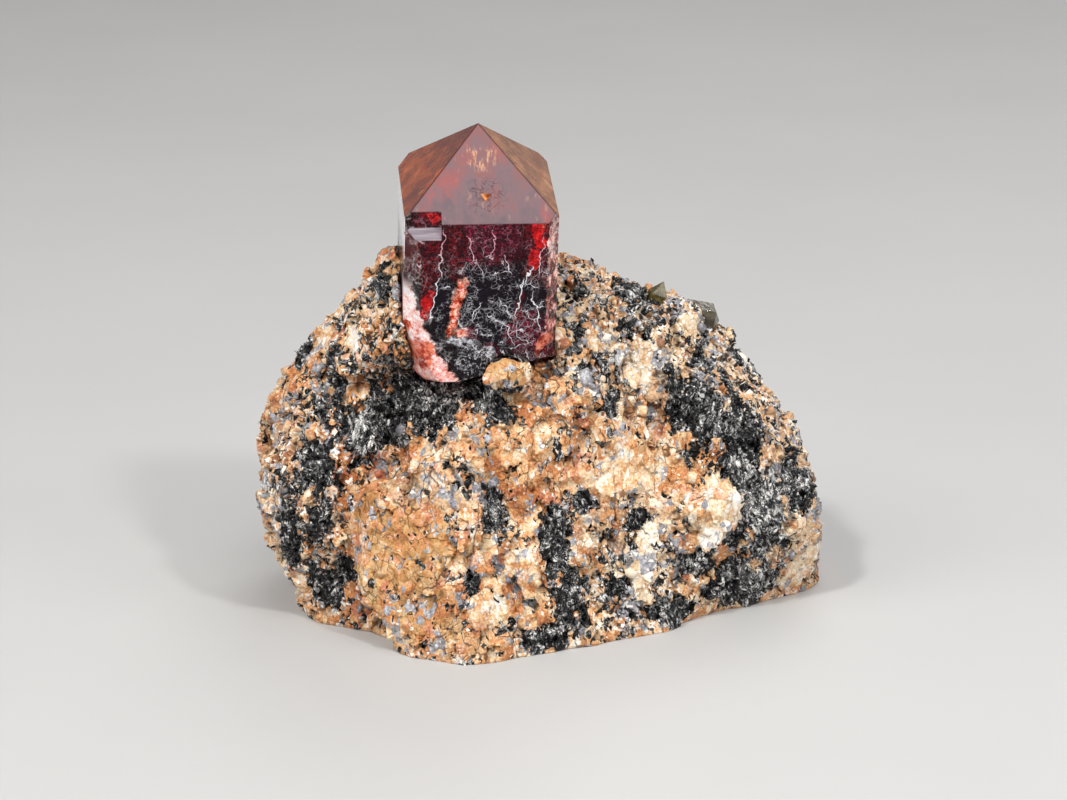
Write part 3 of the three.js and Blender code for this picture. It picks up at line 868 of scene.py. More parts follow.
def chip_shapes(dice, count, cuts):
    """Blunt broken chips about 1 across, each with its own cuts."""
    made = []
    for index in range(count):
        build = bmesh.new()
        bmesh.ops.create_cube(build, size=0.9)
        squash = (1.0, dice.uniform(0.7, 1.0), dice.uniform(0.55, 0.85))
        bmesh.ops.scale(build, vec=squash, verts=build.verts)
        planes = []
        for _ in range(cuts):
            way = Vector(dice.normal(size=3)).normalized()
            planes.append((way * dice.uniform(0.3, 0.44), way))
        struck(build, planes)
        made.append(shape_mesh(build, f"chip_{index}"))
    return made


def flake_shapes(dice, count):
    """Thin six-sided leaves about 1 across, broken along one side."""
    made = []
    for index in range(count):
        build = bmesh.new()
        thick = dice.uniform(0.05, 0.1)
        top = 0.5 * dice.uniform(0.93, 1.0)
        bmesh.ops.create_cone(build, cap_ends=True, segments=6, radius1=0.5, radius2=top, depth=thick)
        bmesh.ops.scale(build, vec=(1.0, dice.uniform(0.35, 0.75), 1.0), verts=build.verts)
        bearing = dice.uniform(0, 2 * math.pi)
        way = Vector((math.cos(bearing), math.sin(bearing), 0.0))
        struck(build, [(way * dice.uniform(0.15, 0.35), way)])
        made.append(shape_mesh(build, f"leaf_{index}"))
    return made


def tilted(dice, normals, amount):
    """Directions that lean off the surface at random."""
    lean = normals + dice.normal(size=normals.shape) * amount
    return lean / np.linalg.norm(lean, axis=1)[:, None]


def leaf_run(spots):
    """The way the biotite's leaves run: mostly down the rock, bending from place to place."""
    at = spots / MM
    bend = np.sin(at @ (0.31, 0.27, 0.4) + 1.7 * np.sin(at @ (0.19, -0.33, 0.23)))
    return np.stack([np.sin(0.9 * bend + 0.3), 0.4 * bend, -np.cos(0.9 * bend + 0.3)], axis=1)


def make_biotite(ground, weight, rock):
    """Books of leaves that lie together, thick where the rock is biotite."""
    dice = np.random.default_rng(7)
    shapes = flake_shapes(dice, 8)
    spots, normals = ground.sow(dice, rock.flake_books, weight)
    run = leaf_run(spots)
    # Some books lie flat and others stand on edge along the run.
    roll = (dice.normal(size=(rock.flake_books, 1)) * 0.5).clip(-0.65, 0.65)
    facing = normals * np.cos(roll) + np.cross(run, normals) * np.sin(roll)
    leaves = dice.integers(2, 6, size=rock.flake_books)
    book = np.repeat(np.arange(rock.flake_books), leaves)
    count = len(book)
    reach = dice.uniform(0.15, 0.5, size=rock.flake_books)[book] * MM
    place, out = ground.nearest(spots[book] + dice.normal(size=(count, 3)) * reach[:, None])
    place = place + out * (dice.uniform(-0.2, 0.04, size=count) * MM)[:, None]
    place[:, 2] = np.maximum(place[:, 2], 0.6 * MM)
    along = run[book] + dice.normal(size=(count, 3)) * 0.3
    turns = turned_to(tilted(dice, facing[book], 0.2), along)
    across = dice.gamma(6.0, 0.14, size=count).clip(0.35, 1.7) * MM
    sizes = np.stack([across, across, across.clip(0.5 * MM)], axis=1)
    # Each leaf's tone sets the brightness of its painted sheen.
    tone = dice.random(rock.flake_books)[book] * 0.3 + dice.random(count) * 0.7
    kinds = dice.integers(0, len(shapes), size=count)
    return joined("biotite_flakes", shapes, kinds, turns, sizes, place, tone)


def make_chips(name, ground, count, weight, seed, cuts, least, most, sunk):
    """Broken grains half sunk in the rock, from least to most millimetres across."""
    dice = np.random.default_rng(seed)
    shapes = chip_shapes(dice, 9, cuts)
    spots, normals = ground.sow(dice, count, weight)
    across = (least + (most - least) * dice.random(count) ** 2.6) * MM
    sizes = across[:, None] * dice.uniform(0.8, 1.2, size=(count, 3))
    place = spots - normals * (across * dice.uniform(0.1, sunk, size=count))[:, None]
    place[:, 2] = np.maximum(place[:, 2], across * 0.62)
    turns = turned_to(tilted(dice, normals, 0.5), dice.normal(size=(count, 3)))
    kinds = dice.integers(0, len(shapes), size=count)
    return joined(name, shapes, kinds, turns, sizes, place, dice.random(count))


def biotite_material(rock):
    """Black mica, with grey and silvery leaves that are painted sheen."""
    material, w, shader = new_material("Biotite")
    at = object_millimetres(w)
    colour = mica_colour_and_sheen(w, at, mica_run(w, at), w.stored("tone"), rock)
    grit = w.noise(at, 4.0, 4.0, 0.66)
    coat(w, shader, colour, w.step(grit, 0.35, 0.65, 0.1, 0.34), w.times(grit, 0.1))
    shader["Specular IOR Level"].default_value = 0.34
    return material


def chip_material(name, rock):
    """Cleaved feldspar, with the rock's own stains."""
    material, w, shader = new_material(name)
    at = object_millimetres(w)
    tone = w.stored("tone")
    colour = feldspar_colour(w, at, tone, rock)
    roughness = w.step(tone, 0.0, 1.0, 0.28, 0.62)
    coat(w, shader, colour, roughness, w.times(w.noise(at, 2.4, 5.0, 0.7), 0.22))
    return material


def quartz_material(rock):
    """Glassy grey quartz."""
    material, w, shader = new_material("Quartz Grains")
    at = object_millimetres(w)
    colour = quartz_colour(w, at, w.stored("tone"), rock)
    roughness = w.step(w.noise(at, 2.4, 3.0), 0.35, 0.65, 0.08, 0.3)
    coat(w, shader, colour, roughness, w.times(w.noise(at, 2.2, 4.0), 0.12))
    shader["IOR"].default_value = 1.55
    return material


def object_millimetres(w):
    """The point on the piece, in millimetres of its own frame."""
    return w.scaled(w.add("ShaderNodeTexCoord").outputs["Object"], 1 / MM)


# ---- The crystals ----------------------------------------------------------------------------


def zircon_place():
    """The big crystal's own frame, in metres."""
    lean = Matrix.Rotation(math.radians(ZIRCON_LEAN), 4, "X")
    sway = Matrix.Rotation(math.radians(ZIRCON_SWAY), 4, "Y")
    turn = Matrix.Rotation(math.radians(ZIRCON_TURN), 4, "Z")
    return Matrix.Translation(Vector(ZIRCON_AT) * MM) @ lean @ sway @ turn


def zircon_millimetres(w):
    """The point in the big crystal's own frame, in millimetres."""
    place = zircon_place()
    mapping = w.add("ShaderNodeMapping", vector_type="TEXTURE")
    mapping.inputs["Location"].default_value = place.translation
    mapping.inputs["Rotation"].default_value = place.to_euler("XYZ")
    mapping.inputs["Scale"].default_value = (MM, MM, MM)
    w.feed(mapping.inputs["Vector"], w.add("ShaderNodeTexCoord").outputs["Object"])
    return mapping.outputs[0]


def point_reach(up):
    """How far from the crystal's axis the faces of its point are at a height."""
    return (ZIRCON_POINT - up) / ZIRCON_SLOPE


def pit_middle():
    """The pit's place in the crystal's own frame."""
    across, up = PIT_AT
    return (across, -point_reach(up), up)


def pit_cutter():
    """A small three-sided point that is struck into the front face of the crystal's point."""
    build = bmesh.new()
    size = 1.3 * MM
    bmesh.ops.create_cone(build, cap_ends=True, segments=3, radius1=0.0, radius2=size, depth=size)
    spin = Matrix.Rotation(math.radians(180), 4, "Z")
    outward = Matrix.Rotation(math.radians(ZIRCON_PITCH), 4, "X")
    place = zircon_place() @ Matrix.Translation(Vector(pit_middle()) * MM) @ outward @ spin
    bmesh.ops.transform(build, matrix=place, verts=build.verts)
    return linked("pit_cutter", shape_mesh(build, "pit_cutter"))


def wear(build, edges, width):
    """Bevels sharp edges as if they were worn."""
    bmesh.ops.bevel(
        build, geom=edges, offset=width, offset_type="OFFSET", affect="EDGES", segments=2, profile=0.5,
        material=-1, clamp_overlap=True,
    )


def make_zircon(crystal):
    """The big crystal: flat faces with worn edges and a pit."""
    made = merged_copy("zircon_crystal", "zircon")
    cutter = pit_cutter()
    strike = made.modifiers.new("pit", "BOOLEAN")
    strike.operation = "DIFFERENCE"
    strike.object = cutter
    settle(made)
    bpy.data.objects.remove(cutter)
    build = bmesh.new()
    build.from_mesh(made.data)
    bmesh.ops.remove_doubles(build, verts=build.verts, dist=1e-6)
    flat = math.radians(0.6)
    bmesh.ops.dissolve_limit(build, angle_limit=flat, verts=build.verts, edges=build.edges)
    corner = math.radians(8)
    wear(build, [edge for edge in build.edges if edge.calc_face_angle(0.0) > corner], crystal.edge)
    bmesh.ops.triangulate(build, faces=[face for face in build.faces if len(face.verts) > 4])
    build.to_mesh(made.data)
    build.free()
    return made


def tip_colour(w, at, bent, front, mottle, grit):
    """The cloudy point, each face painted its own colour as it shows in the light: mauve in front,
    orange on the left, tan on the right, with golden strokes and patches that are painted glints and
    highlights.
    """
    x, y, z = w.parts(at)
    run = w.add("ShaderNodeCombineXYZ")
    w.feed(run.inputs[0], w.fade(front, y, x))
    w.feed(run.inputs[1], w.times(z, 0.36))
    w.feed(run.inputs[2], w.times(front, 7.0))
    brush = w.noise(run.outputs[0], 0.9, 3.0, 0.55)
    glint_marks = w.step(w.noise(run.outputs[0], 2.2, 2.0), 0.6, 0.7)
    glint_marks = w.times(glint_marks, w.step(w.noise(at, 0.7), 0.46, 0.6))
    mauve = w.ramp(
        w.plus(w.times(w.noise(bent, 0.4, 3.0), 1.1), (brush, 0.6), (z, 0.04), -0.52),
        (0.1, 100, 92, 96), (0.42, 126, 103, 105), (0.66, 148, 94, 90), (0.95, 164, 106, 92),
    )
    cloud = w.noise(bent, 0.45, 3.0)
    left = w.ramp(
        w.plus((cloud, 1.1), (mottle, 0.25), (brush, 0.26), (z, -0.03), -0.24),
        (0.15, 104, 70, 70), (0.45, 144, 86, 72), (0.66, 184, 104, 72), (0.9, 236, 148, 94),
    )
    right = w.ramp(
        w.plus((cloud, 1.1), (mottle, 0.25), (brush, 0.26), -0.25),
        (0.15, 124, 90, 84), (0.45, 160, 116, 96), (0.68, 196, 140, 106), (0.9, 246, 190, 142),
    )
    tip = w.blend(front, w.blend(w.step(x, -0.2, 0.2), left, right), mauve)
    # Golden patches and strokes: painted highlights and painted glints.
    gold_glint = w.patches(bent, GOLD_HIGHLIGHTS, 0.9)
    gold_glint = w.times(w.times(gold_glint, w.step(w.noise(run.outputs[0], 3.0, 4.0, 0.7), 0.48, 0.64)), front)
    tip = w.blend(w.times(gold_glint, 0.75), tip, paint(248, 190, 140))
    blush = w.spots(bent, BLUSH, 1.4, grit, 0.36, 0.6, 0.05, 0.45)
    tip = w.blend(blush, tip, paint(206, 76, 56))
    glint_marks = w.times(glint_marks, w.fade(front, 0.3, 0.2))
    return w.blend(glint_marks, tip, paint(252, 190, 132))


def foot_side(w, z):
    """How far the worn foot has drawn in from the crystal's side at a height."""
    below = w.least(w.plus(z, 4.0), 0.0)
    return w.times(below, below, 0.0275)


def body_colour(w, at, bent, mottle, grit, crystal):
    """The prism's clouds, cracks and spots of colour, and how far they hide the glass."""
    x, y, z = w.parts(at)
    front = w.fall(y, -5.0, -4.0)
    colour, solid = (0.97, 0.9, 0.9, 1.0), 0.0

    def lay(mask, shade):
        """Lays one colour over the others."""
        nonlocal colour, solid
        shown = w.times(mask, front)
        colour = w.blend(w.step(shown, 0.0, 0.08), colour, shade)
        solid = w.most(solid, shown)

    def two(value, low, high, dark, light):
        """One of two swatches, as value goes from low to high."""
        return w.blend(w.step(value, low, high), paint(*dark), paint(*light))

    lay(
        w.spots(bent, INK, 0.9, mottle, 0.3, 0.5, 0.5, 0.9),
        two(mottle, 0.4, 0.62, (0, 0, 3), (10, 10, 22)),
    )
    lay(
        w.spots(bent, WINE, 0.9, mottle, 0.36, 0.6, 0.3, 0.8),
        two(grit, 0.48, 0.62, (40, 4, 18), (150, 34, 62)),
    )
    garnets = w.patches(bent, GARNETS, 0.7)
    lay(
        w.times(garnets, w.step(mottle, 0.32, 0.5, 0.5, 0.95)),
        two(grit, 0.42, 0.62, (16, 0, 5), (104, 2, 10)),
    )
    # Pale clouds run down the corners into a pink foot.
    corner = w.plus(w.math("ABSOLUTE", x), w.math("ABSOLUTE", y), (mottle, 1.1), -0.55)
    left_band = w.times(w.step(corner, 14.7, 15.1), w.fall(x, -6.3, -6.0))
    pinkish = w.fall(w.plus(z, (mottle, 4.0)), -8.0, -3.5)
    lay(
        w.times(left_band, w.fade(pinkish, w.times(w.step(grit, 0.46, 0.56), 0.8), 0.85)),
        w.blend(pinkish, paint(158, 148, 156), paint(244, 204, 196)),
    )
    streaks = w.noise(w.vector("MULTIPLY", at, (2.6, 2.6, 0.6)), 1.0, 4.0, 0.65)
    strip = w.ramp(
        w.plus((streaks, 1.6), (grit, 1.2), (z, 0.02), -0.7),
        (0.1, 110, 20, 22), (0.4, 196, 84, 66), (0.62, 232, 164, 148), (0.85, 250, 232, 226),
    )
    right_band = w.times(w.step(corner, 14.65, 14.95), w.step(x, 6.0, 6.2))
    lay(w.times(right_band, w.step(streaks, 0.38, 0.5, 0.4, 0.97)), strip)
    reach = w.plus(foot_side(w, z), (mottle, 2.2), (grit, 0.8), -8.5)
    foot = w.times(w.step(w.minus(reach, x), -0.15, 0.3), w.fall(z, -8.3, -6.0))
    salmon = w.ramp(
        w.plus((mottle, 1.7), (grit, 1.2), (z, 0.02), -0.68),
        (0.1, 176, 56, 44), (0.3, 228, 134, 118), (0.52, 244, 196, 188), (0.78, (0.97, 0.94, 0.94)),
    )
    lay(w.times(foot, 0.97), salmon)
    lay(
        w.spots(bent, COALS, 1.2, grit, 0.4, 0.6, 0.8, 0.3),
        two(mottle, 0.4, 0.58, (156, 44, 26), (230, 130, 100)),
    )
    # Painted light: vivid red and orange spots, as if thrown back from inside the crystal.
    glow = w.ramp(
        w.plus((mottle, 1.0), (grit, 1.4), -0.7),
        (0.1, 60, 0, 4), (0.45, 150, 4, 8), (0.75, 222, 22, 14), (1.0, 250, 84, 50),
    )
    lay(w.spots(bent, RED_REFLECTIONS, 0.6, grit, 0.34, 0.46, 0.3, 1.0), glow)
    flare = w.ramp(
        w.plus((mottle, 2.0), (grit, 1.8), (x, -0.06), -1.56),
        (0.1, 70, 8, 16), (0.36, 206, 70, 34), (0.6, 240, 150, 118), (0.88, 252, 230, 214),
    )
    lay(w.spots(bent, ORANGE_REFLECTIONS, 0.8, grit, 0.34, 0.44, 0.5, 1.0), flare)
    lay(w.patches(bent, ASH, 0.3), two(grit, 0.42, 0.6, (84, 86, 94), (200, 200, 204)))
    lay(w.patches(bent, SOOT, 0.3), two(grit, 0.54, 0.64, (14, 14, 16), (150, 150, 154)))
    # Fine curled cracks, thickest in tangles.
    tangle = w.plus(w.times(w.patches(bent, TANGLES, 1.6), 0.1), w.noise(at, 0.9, 3.0), -0.02)
    cracks = w.times(w.hairs(at, 0.5, 0.045, 0.0, 0.42), w.step(tangle, 0.52, 0.62))
    middling = w.hairs(at, 1.05, 0.034, 9.0, 0.3)
    middling = w.times(middling, w.step(w.plus(tangle, grit), 0.96, 1.07, 0.0, 0.46))
    cracks = w.most(cracks, middling)
    finest = w.hairs(at, 2.1, 0.034, 17.0, 0.2)
    finest = w.times(finest, w.step(w.plus(tangle, mottle), 0.9, 1.1, 0.0, 0.27))
    cracks = w.times(w.most(cracks, finest), w.fade(garnets, 1.0, 0.3))
    cracks = w.most(cracks, w.patches(bent, CRACKS))
    shown = w.times(cracks, 0.95)
    veil = w.blend(w.step(z, -6.0, -2.0), crystal.veil, paint(206, 150, 164))
    return w.blend(shown, colour, veil), w.most(solid, shown), w.most(foot, w.times(shown, 0.5))


def zircon_material(crystal):
    """Deep red and glassy, clouded along its corners and foot and veined with fine cracks."""
    material, w, shader = new_material("Red Zircon")
    at = zircon_millimetres(w)
    x, y, z = w.parts(at)
    wide = w.math("ABSOLUTE", x)
    deep = w.math("ABSOLUTE", y)
    bent = w.drift(at, 1.0, 0.85, 5.0)
    mottle = w.noise(at, 1.1, 5.0, 0.7)
    grit = w.noise(at, 4.0, 4.0, 0.7)
    # Height above the point's faces: zero on them, less below them.
    over = w.plus(z, w.times(w.most(wide, deep), ZIRCON_SLOPE), -ZIRCON_POINT)
    front = w.times(w.step(w.minus(deep, wide), -0.03, 0.03), w.fall(y, 0.0, 0.1))
    away = w.vector("LENGTH", w.vector("SUBTRACT", at, pit_middle()))
    pit = w.times(w.fall(away, 1.0, 1.1), w.fall(over, -0.08, -0.02))
    point = w.most(w.step(over, -0.1, -0.02), pit)
    ledge = w.fall(w.math("ABSOLUTE", w.plus(over, ZIRCON_STEP)), 0.04, 0.12)
    ledge = w.times(ledge, w.times(w.step(y, -8.13, -8.07), w.fall(y, -6.9, -6.8)))
    prism = w.minus(1.0, w.most(point, ledge))
    tip = tip_colour(w, at, bent, front, mottle, grit)
    tip = w.blend(pit, tip, w.blend(w.step(mottle, 0.4, 0.6), paint(150, 70, 30), paint(250, 196, 130)))
    # The ledge's grey is a painted sheen laid over its growth stripes.
    striped = w.noise(w.vector("MULTIPLY", at, (0.3, 5.0, 5.0)), 1.0, 2.0)
    tip = w.blend(ledge, tip, w.blend(striped, paint(70, 66, 76), paint(196, 186, 194)))
    body, solid, dull = body_colour(w, at, bent, mottle, grit, crystal)
    # Dark cracks round the pit, and dark seams where the point's faces meet: the seams are painted dark
    # reflections.
    root = w.times(w.hairs(bent, 1.1, 0.05, 3.0), w.fall(away, 1.2, 2.6))
    seam_shade_and_cracks = w.fall(w.math("ABSOLUTE", w.minus(wide, deep)), 0.06, 0.16)
    seam_shade_and_cracks = w.times(w.most(w.times(seam_shade_and_cracks, 0.9), w.times(root, 0.85)), w.times(point, w.minus(1.0, pit)))
    colour = w.blend(seam_shade_and_cracks, w.blend(prism, tip, body), paint(58, 14, 10))
    # The left face is painted white near the shoulder: a painted reflection.
    white_reflection = w.times(w.fall(x, -7.67, -7.6), w.step(w.plus(z, (mottle, 4.0)), -3.5, -1.0))
    white_reflection = w.times(w.times(white_reflection, prism), w.step(grit, 0.36, 0.46))
    hidden = w.most(w.most(w.fade(prism, w.fade(pit, 0.66, 1.0), solid), seam_shade_and_cracks), white_reflection)
    colour = w.blend(white_reflection, colour, paint(240, 240, 244))
    w.feed(shader["Transmission Weight"], w.minus(1.0, hidden))
    dull = w.times(prism, dull)
    roughness = w.fade(dull, w.step(mottle, 0.3, 0.7, 0.03, 0.09), 0.34)
    # The foot is rough and the prism faintly ridged. Only a few nodes may feed the height.
    broken = w.step(w.plus(foot_side(w, z), (x, -1.0), -8.3), 0.0, 0.8)
    rough = w.times(w.times(broken, w.noise(at, 2.6, 4.0, 0.65)), 0.3)
    ripple = w.times(w.noise(w.vector("MULTIPLY", at, (0.5, 0.5, 5.0)), 1.0, 3.0), 0.02)
    ripple = w.times(ripple, w.fall(over, -0.1, -0.02))
    coat(w, shader, colour, roughness, w.plus(rough, ripple, w.times(w.noise(at, 0.9), 0.01)))
    shader["IOR"].default_value = crystal.ior
    w.feed(shader["Specular Tint"], crystal.sheen)
    absorb(material, crystal.red, crystal.density)
    return material


def absorb(material, colour, density):
    """Light is lost inside the piece and takes on colour."""
    tree = material.node_tree
    volume = tree.nodes.new("ShaderNodeVolumeAbsorption")
    volume.inputs["Color"].default_value = (*colour, 1.0)
    volume.inputs["Density"].default_value = density
    output = next(node for node in tree.nodes if node.type == "OUTPUT_MATERIAL")
    tree.links.new(volume.outputs[0], output.inputs["Volume"])


def leaf(width, height, seed):
    """A ragged upright leaf in the XZ plane, closed and very thin, of a size given in millimetres."""
    build = bmesh.new()
    side = 0.22  # of its faces
    columns = max(3, round(width / side))
    rows = max(6, round(height / side))
    bmesh.ops.create_grid(build, x_segments=columns, y_segments=rows, size=0.5)
    bmesh.ops.scale(build, vec=(width, height, 1.0), verts=build.verts)
    lost = []
    for face in build.faces:
        middle = face.calc_center_median()
        across, along = 2 * middle.x / width, 2 * middle.y / height
        edge = across * across + along ** 4
        torn = noise.noise(Vector((middle.x * 1.6 + seed, middle.y * 0.9, seed))) * 0.9
        if edge + torn > 0.85:
            lost.append(face)
    bmesh.ops.delete(build, geom=lost, context="FACES")
    # It bends in and out of its plane.
    reach, wave = 0.5, 2.2
    for vert in build.verts:
        swell = noise.noise(Vector((vert.co.x / wave + seed, vert.co.y / wave, seed * 1.7)))
        vert.co.z += swell * reach
    bmesh.ops.scale(build, vec=(MM, MM, MM), verts=build.verts)
    bmesh.ops.recalc_face_normals(build, faces=build.faces)
    bmesh.ops.solidify(build, geom=build.faces[:], thickness=0.06 * MM)
    bmesh.ops.rotate(build, matrix=Matrix.Rotation(math.pi / 2, 3, "X"), verts=build.verts)
    return build


def gathered(name, builds):
    """One object of several bmeshes, which are used up."""
    whole = bmesh.new()
    for build in builds:
        part = bpy.data.meshes.new("part")
        build.to_mesh(part)
        build.free()
        whole.from_mesh(part)
        bpy.data.meshes.remove(part)
    mesh = bpy.data.meshes.new(name)
    bmesh.ops.recalc_face_normals(whole, faces=whole.faces)
    whole.to_mesh(mesh)
    whole.free()
    return linked(name, mesh)


def make_flames():
    """Cracks inside the crystal that throw the light back red."""
    builds = []
    for index, (across, depth, height, width, length, lean) in enumerate(FLAMES):
        build = leaf(width, length, 3.1 * index)
        place = (
            zircon_place()
            @ Matrix.Translation(Vector((across, depth - ZIRCON_FRONT, height)) * MM)
            @ Matrix.Rotation(math.radians(lean), 4, "Y")
        )
        bmesh.ops.transform(build, matrix=place, verts=build.verts)
        builds.append(build)
    return gathered("zircon_flames", builds)


def make_flecks():
    """Small bright flecks under the faces of the point, painted as glints of light off cracks inside.
    """
    dice = np.random.default_rng(23)
    count = 110
    shapes = flake_shapes(dice, 5)
    side = dice.integers(0, 4, size=count)
    along = dice.uniform(-1, 1, size=count)
    up = dice.uniform(0.6, 5.2, size=count)
    out = point_reach(up) - 1.1
    depth = dice.uniform(0.5, 1.4, size=count)
    # Laid out behind the front face, then turned to their own.
    x, y, z = along * out * 0.75, depth - out, up - depth * 0.4
    spin = side * math.pi / 2
    cos, sin = np.cos(spin), np.sin(spin)
    local = np.stack([x * cos - y * sin, x * sin + y * cos, z], axis=1)
    place = np.array(zircon_place())
    spots = (local * MM) @ place[:3, :3].T + place[:3, 3]
    facing = np.stack([sin, -cos, np.full(count, 0.9)], axis=1) + dice.normal(size=(count, 3)) * 0.35
    turns = turned_to(facing @ place[:3, :3].T, dice.normal(size=(count, 3)))
    across = dice.uniform(0.25, 1.0, size=count) * MM
    sizes = np.stack([across, across * dice.uniform(0.25, 0.7, size=count), across * 0.4], axis=1)
    kinds = dice.integers(0, len(shapes), size=count)
    return joined("zircon_flecks", shapes, kinds, turns, sizes, spots, dice.random(count))


def flame_material(name, low, high):
    """A crack's bright face, mottled."""
    material, w, shader = new_material(name)
    at = object_millimetres(w)
    w.feed(shader["Base Color"], w.ramp(w.noise(at, 1.6, 4.0, 0.65), (0.3, low), (0.68, high)))
    w.feed(shader["Roughness"], w.step(w.noise(at, 3.0), 0.3, 0.7, 0.2, 0.5))
    return material


def make_small_crystal(node, name, edge):
    """A small crystal with worn edges."""
    made = merged_copy(node, name)
    build = bmesh.new()
    build.from_mesh(made.data)
    bmesh.ops.dissolve_limit(build, angle_limit=math.radians(1), verts=build.verts, edges=build.edges)
    wear(build, build.edges[:], edge)
    build.to_mesh(made.data)
    build.free()
    return made


def small_crystal_material(name, colour, passing, density):
    """A small glassy crystal, cloudy in places."""
    material, w, shader = new_material(name)
    at = object_millimetres(w)
    haze = w.step(w.noise(at, 0.9, 4.0), 0.4, 0.6, 0.35, 0.85)
    w.feed(shader["Transmission Weight"], w.minus(1.0, haze))
    roughness = w.step(w.noise(at, 1.8), 0.3, 0.7, 0.04, 0.2)
    coat(w, shader, colour, roughness, w.times(w.noise(at, 2.0, 3.0), 0.08))
    shader["IOR"].default_value = 1.6
    absorb(material, passing, density)
    return material


# ---- The stage -------------------------------------------------------------------------------


def make_floor(stage):
    """A pale floor, a little uneven in tone."""
    build = bmesh.new()
    bmesh.ops.create_grid(build, x_segments=1, y_segments=1, size=2.0)
    made = linked("floor", shape_mesh(build, "floor"))
    if made.data.polygons[0].normal.z < 0:
        made.data.flip_normals()
    material, w, shader = new_material("Pale Floor")
    at = object_millimetres(w)
    shade = w.step(w.noise(at, 0.02, 3.0), 0.3, 0.7)
    w.feed(shader["Base Color"], w.blend(shade, [c * 0.97 for c in stage.floor], stage.floor))
    shader["Roughness"].default_value = 0.6
    made.data.materials.append(material)


def make_lights():
    """Soft boxes and lamps that face the specimen. Each one's power grows with its area."""
    target = Vector(CAMERA_TARGET) * MM
    for name, bearing, rise, distance, size, radiance, tint in LIGHTS:
        lamp = bpy.data.lights.new(name, "AREA")
        lamp.shape = "RECTANGLE"
        lamp.size, lamp.size_y = (side * MM for side in size)
        lamp.energy = radiance * math.pi * lamp.size * lamp.size_y
        lamp.color = tint
        made = linked(name, lamp)
        around, up = math.radians(bearing), math.radians(rise)
        way = Vector((math.sin(around) * math.cos(up), -math.cos(around) * math.cos(up), math.sin(up)))
        made.location = target + way * distance * MM
        made.rotation_euler = (-way).to_track_quat("-Z", "Y").to_euler()


def make_camera(stage):
    """A camera in front of the specimen, looking down at it."""
    camera = bpy.data.cameras.new("camera")
    camera.lens = stage.lens
    camera.sensor_width = 36.0
    camera.clip_start, camera.clip_end = 0.01, 20.0
    made = linked("camera", camera)
    rise = math.radians(CAMERA_RISE)
    back = Vector((0.0, -math.cos(rise), math.sin(rise)))
    made.location = Vector(CAMERA_TARGET) * MM + back * stage.distance
    made.rotation_euler = (math.pi / 2 - rise, 0.0, 0.0)
    bpy.context.scene.camera = made


def make_surroundings(stage):
    """An even room light, and colours shown as they are."""
    scene = bpy.context.scene
    scene.world = bpy.data.worlds.new("studio")
    scene.world.use_nodes = True
    sky = scene.world.node_tree.nodes["Background"]
    sky.inputs["Color"].default_value = (*stage.sky, 1.0)
    scene.view_settings.view_transform = "Standard"


# ---- Operators -------------------------------------------------------------------------------


class SPECIMEN_OT_stage(bpy.types.Operator):
    """Build the floor, the lights and the camera"""

    bl_idname = "specimen.stage"
    bl_label = "Stage"

    def execute(self, context):
        stage = context.scene.specimen_stage
        make_floor(stage)
        make_lights()
        make_camera(stage)
        make_surroundings(stage)
        return {"FINISHED"}


class SPECIMEN_OT_rock(bpy.types.Operator):
    """Build the rock's broken surface"""

    bl_idname = "specimen.rock"
    bl_label = "Rock"

    def execute(self, context):
        rock = context.scene.specimen_rock
        made = merged_copy("matrix", "rock")
        remesh = made.modifiers.new("even mesh", "REMESH")
        remesh.mode = "VOXEL"
        remesh.voxel_size = rock.mesh_size
        soften = made.modifiers.new("soften", "SMOOTH")
        soften.iterations = 6
        soften.factor = 0.5
        settle(made)
        note_zones(made.data, *ZONES)
        relief = made.modifiers.new("relief", "NODES")
        relief.node_group = relief_tree(rock)
        settle(made)
        thin = made.modifiers.new("thin", "DECIMATE")
        thin.ratio = min(1.0, rock.faces / sum(len(face.vertices) - 2 for face in made.data.polygons))
        settle(made)
        inside = points(made.data).clip(*CAD_BOX).astype(np.float32)
        made.data.vertices.foreach_set("co", inside.ravel())
        made.data.update()
        made.data.shade_smooth()
        made.data.set_sharp_from_angle(angle=math.radians(SHARP))
        finished(made, rock_material(rock), "feldspar_biotite_rock", "matrix")
        return {"FINISHED"}


class SPECIMEN_OT_grains(bpy.types.Operator):
    """Sow biotite flakes, feldspar grains and quartz grains on the rock"""

    bl_idname = "specimen.grains"
    bl_label = "Grains"

    def execute(self, context):
        rock = context.scene.specimen_rock
        body = bpy.data.objects["rock"].data
        mica, quartz = values(body, "mica"), values(body, "quartz")
        ground = Ground(body)
        slot = "feldspar_biotite_rock"
        flakes = make_biotite(ground, mica, rock)
        note_zones(flakes.data, "silver_sheen_zone")
        finished(flakes, biotite_material(rock), slot)
        chips = make_chips(
            "feldspar_grains", ground, rock.feldspar_grains, (1 - mica) * (1 - quartz),
            seed=11, cuts=4, least=0.35, most=1.5, sunk=0.55,
        )
        note_zones(chips.data, "pale_zone", "ochre_zone", "buff_zone")
        finished(chips, chip_material("Feldspar Grains", rock), slot)
        clear = make_chips(
            "quartz_grains", ground, rock.quartz_grains, quartz + 0.01,
            seed=13, cuts=8, least=0.45, most=1.5, sunk=0.4,
        )
        finished(clear, quartz_material(rock), slot)
        return {"FINISHED"}


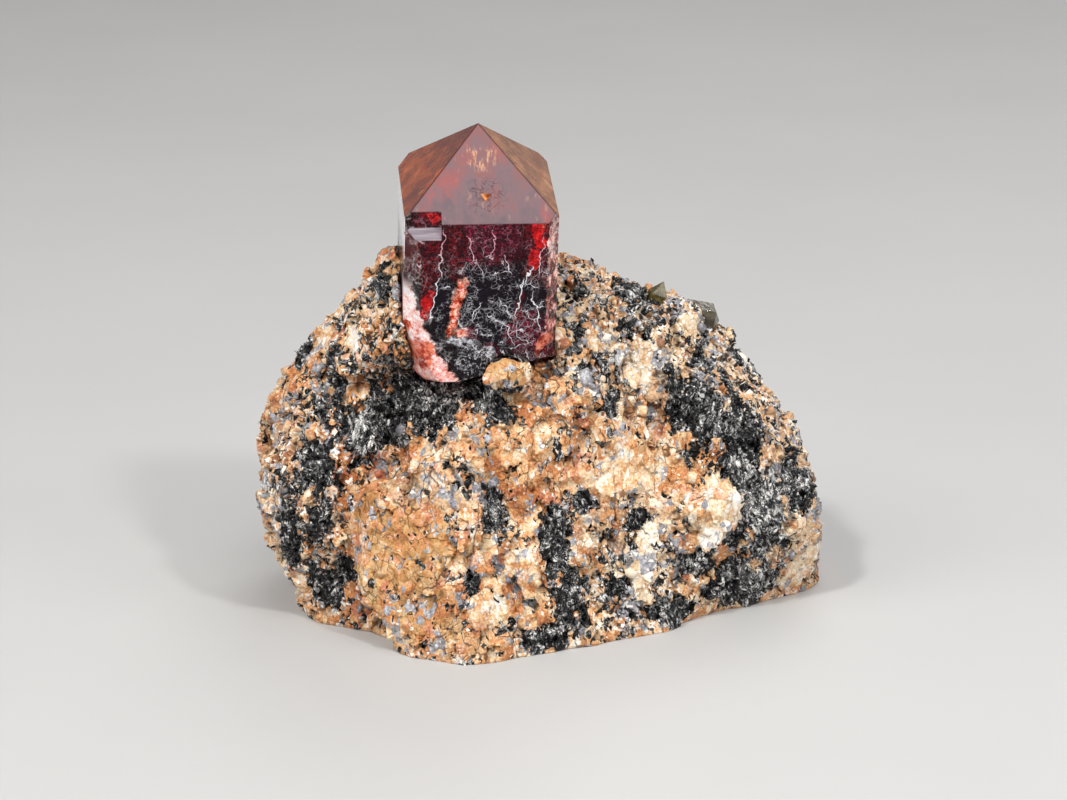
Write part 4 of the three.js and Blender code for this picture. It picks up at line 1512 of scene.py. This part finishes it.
class SPECIMEN_OT_zircon(bpy.types.Operator):
    """Build the big red crystal with the cracks inside it"""

    bl_idname = "specimen.zircon"
    bl_label = "Zircon"

    def execute(self, context):
        crystal = context.scene.specimen_crystal
        finished(make_zircon(crystal), zircon_material(crystal), "red_zircon", "zircon_crystal")
        bright = flame_material("Crack Glow", paint(214, 20, 12), paint(255, 90, 60))
        finished(make_flames(), bright, "red_zircon")
        # The flecks are painted glints: bright sheets where light glances off cracks inside.
        gold_glint = flame_material("Gold Flecks", paint(235, 140, 70), paint(255, 226, 180))
        finished(make_flecks(), gold_glint, "red_zircon")
        return {"FINISHED"}


class SPECIMEN_OT_small_crystals(bpy.types.Operator):
    """Build the two small crystals on the crown"""

    bl_idname = "specimen.small_crystals"
    bl_label = "Small Crystals"

    def execute(self, context):
        for node, colour, passing in (
            ("smoky_crystal", paint(98, 90, 74), (0.6, 0.53, 0.4)),
            ("olive_crystal", paint(112, 98, 56), (0.6, 0.53, 0.28)),
        ):
            made = make_small_crystal(node, node.replace("_crystal", "_point"), edge=0.06 * MM)
            label = node.replace("_", " ").title()
            finished(made, small_crystal_material(label, colour, passing, density=700.0), node, node)
        return {"FINISHED"}


class SPECIMEN_PT_panel(bpy.types.Panel):
    """Lists the pieces and their settings"""

    bl_label = "Zircon on Matrix"
    bl_idname = "SPECIMEN_PT_panel"
    bl_space_type = "VIEW_3D"
    bl_region_type = "UI"
    bl_category = "Specimen"

    def draw(self, context):
        layout = self.layout
        for step in STEPS:
            layout.operator(step.bl_idname)
        for owner in SETTINGS:
            settings = getattr(context.scene, owner)
            box = layout.box()
            for name in settings.__annotations__:
                box.prop(settings, name)


STEPS = (
    SPECIMEN_OT_stage,
    SPECIMEN_OT_rock,
    SPECIMEN_OT_grains,
    SPECIMEN_OT_zircon,
    SPECIMEN_OT_small_crystals,
)
SETTINGS = {
    "specimen_rock": RockSettings,
    "specimen_crystal": CrystalSettings,
    "specimen_stage": StageSettings,
}
CLASSES = (*SETTINGS.values(), *STEPS, SPECIMEN_PT_panel)


def register():
    for kind in CLASSES:
        bpy.utils.register_class(kind)
    for owner, kind in SETTINGS.items():
        setattr(bpy.types.Scene, owner, PointerProperty(type=kind))


def unregister():
    for owner in SETTINGS:
        delattr(bpy.types.Scene, owner)
    for kind in reversed(CLASSES):
        bpy.utils.unregister_class(kind)


def main():
    register()
    bpy.ops.specimen.stage()
    bpy.ops.specimen.rock()
    bpy.ops.specimen.grains()
    bpy.ops.specimen.zircon()
    bpy.ops.specimen.small_crystals()


if __name__ == "__main__":
    main()
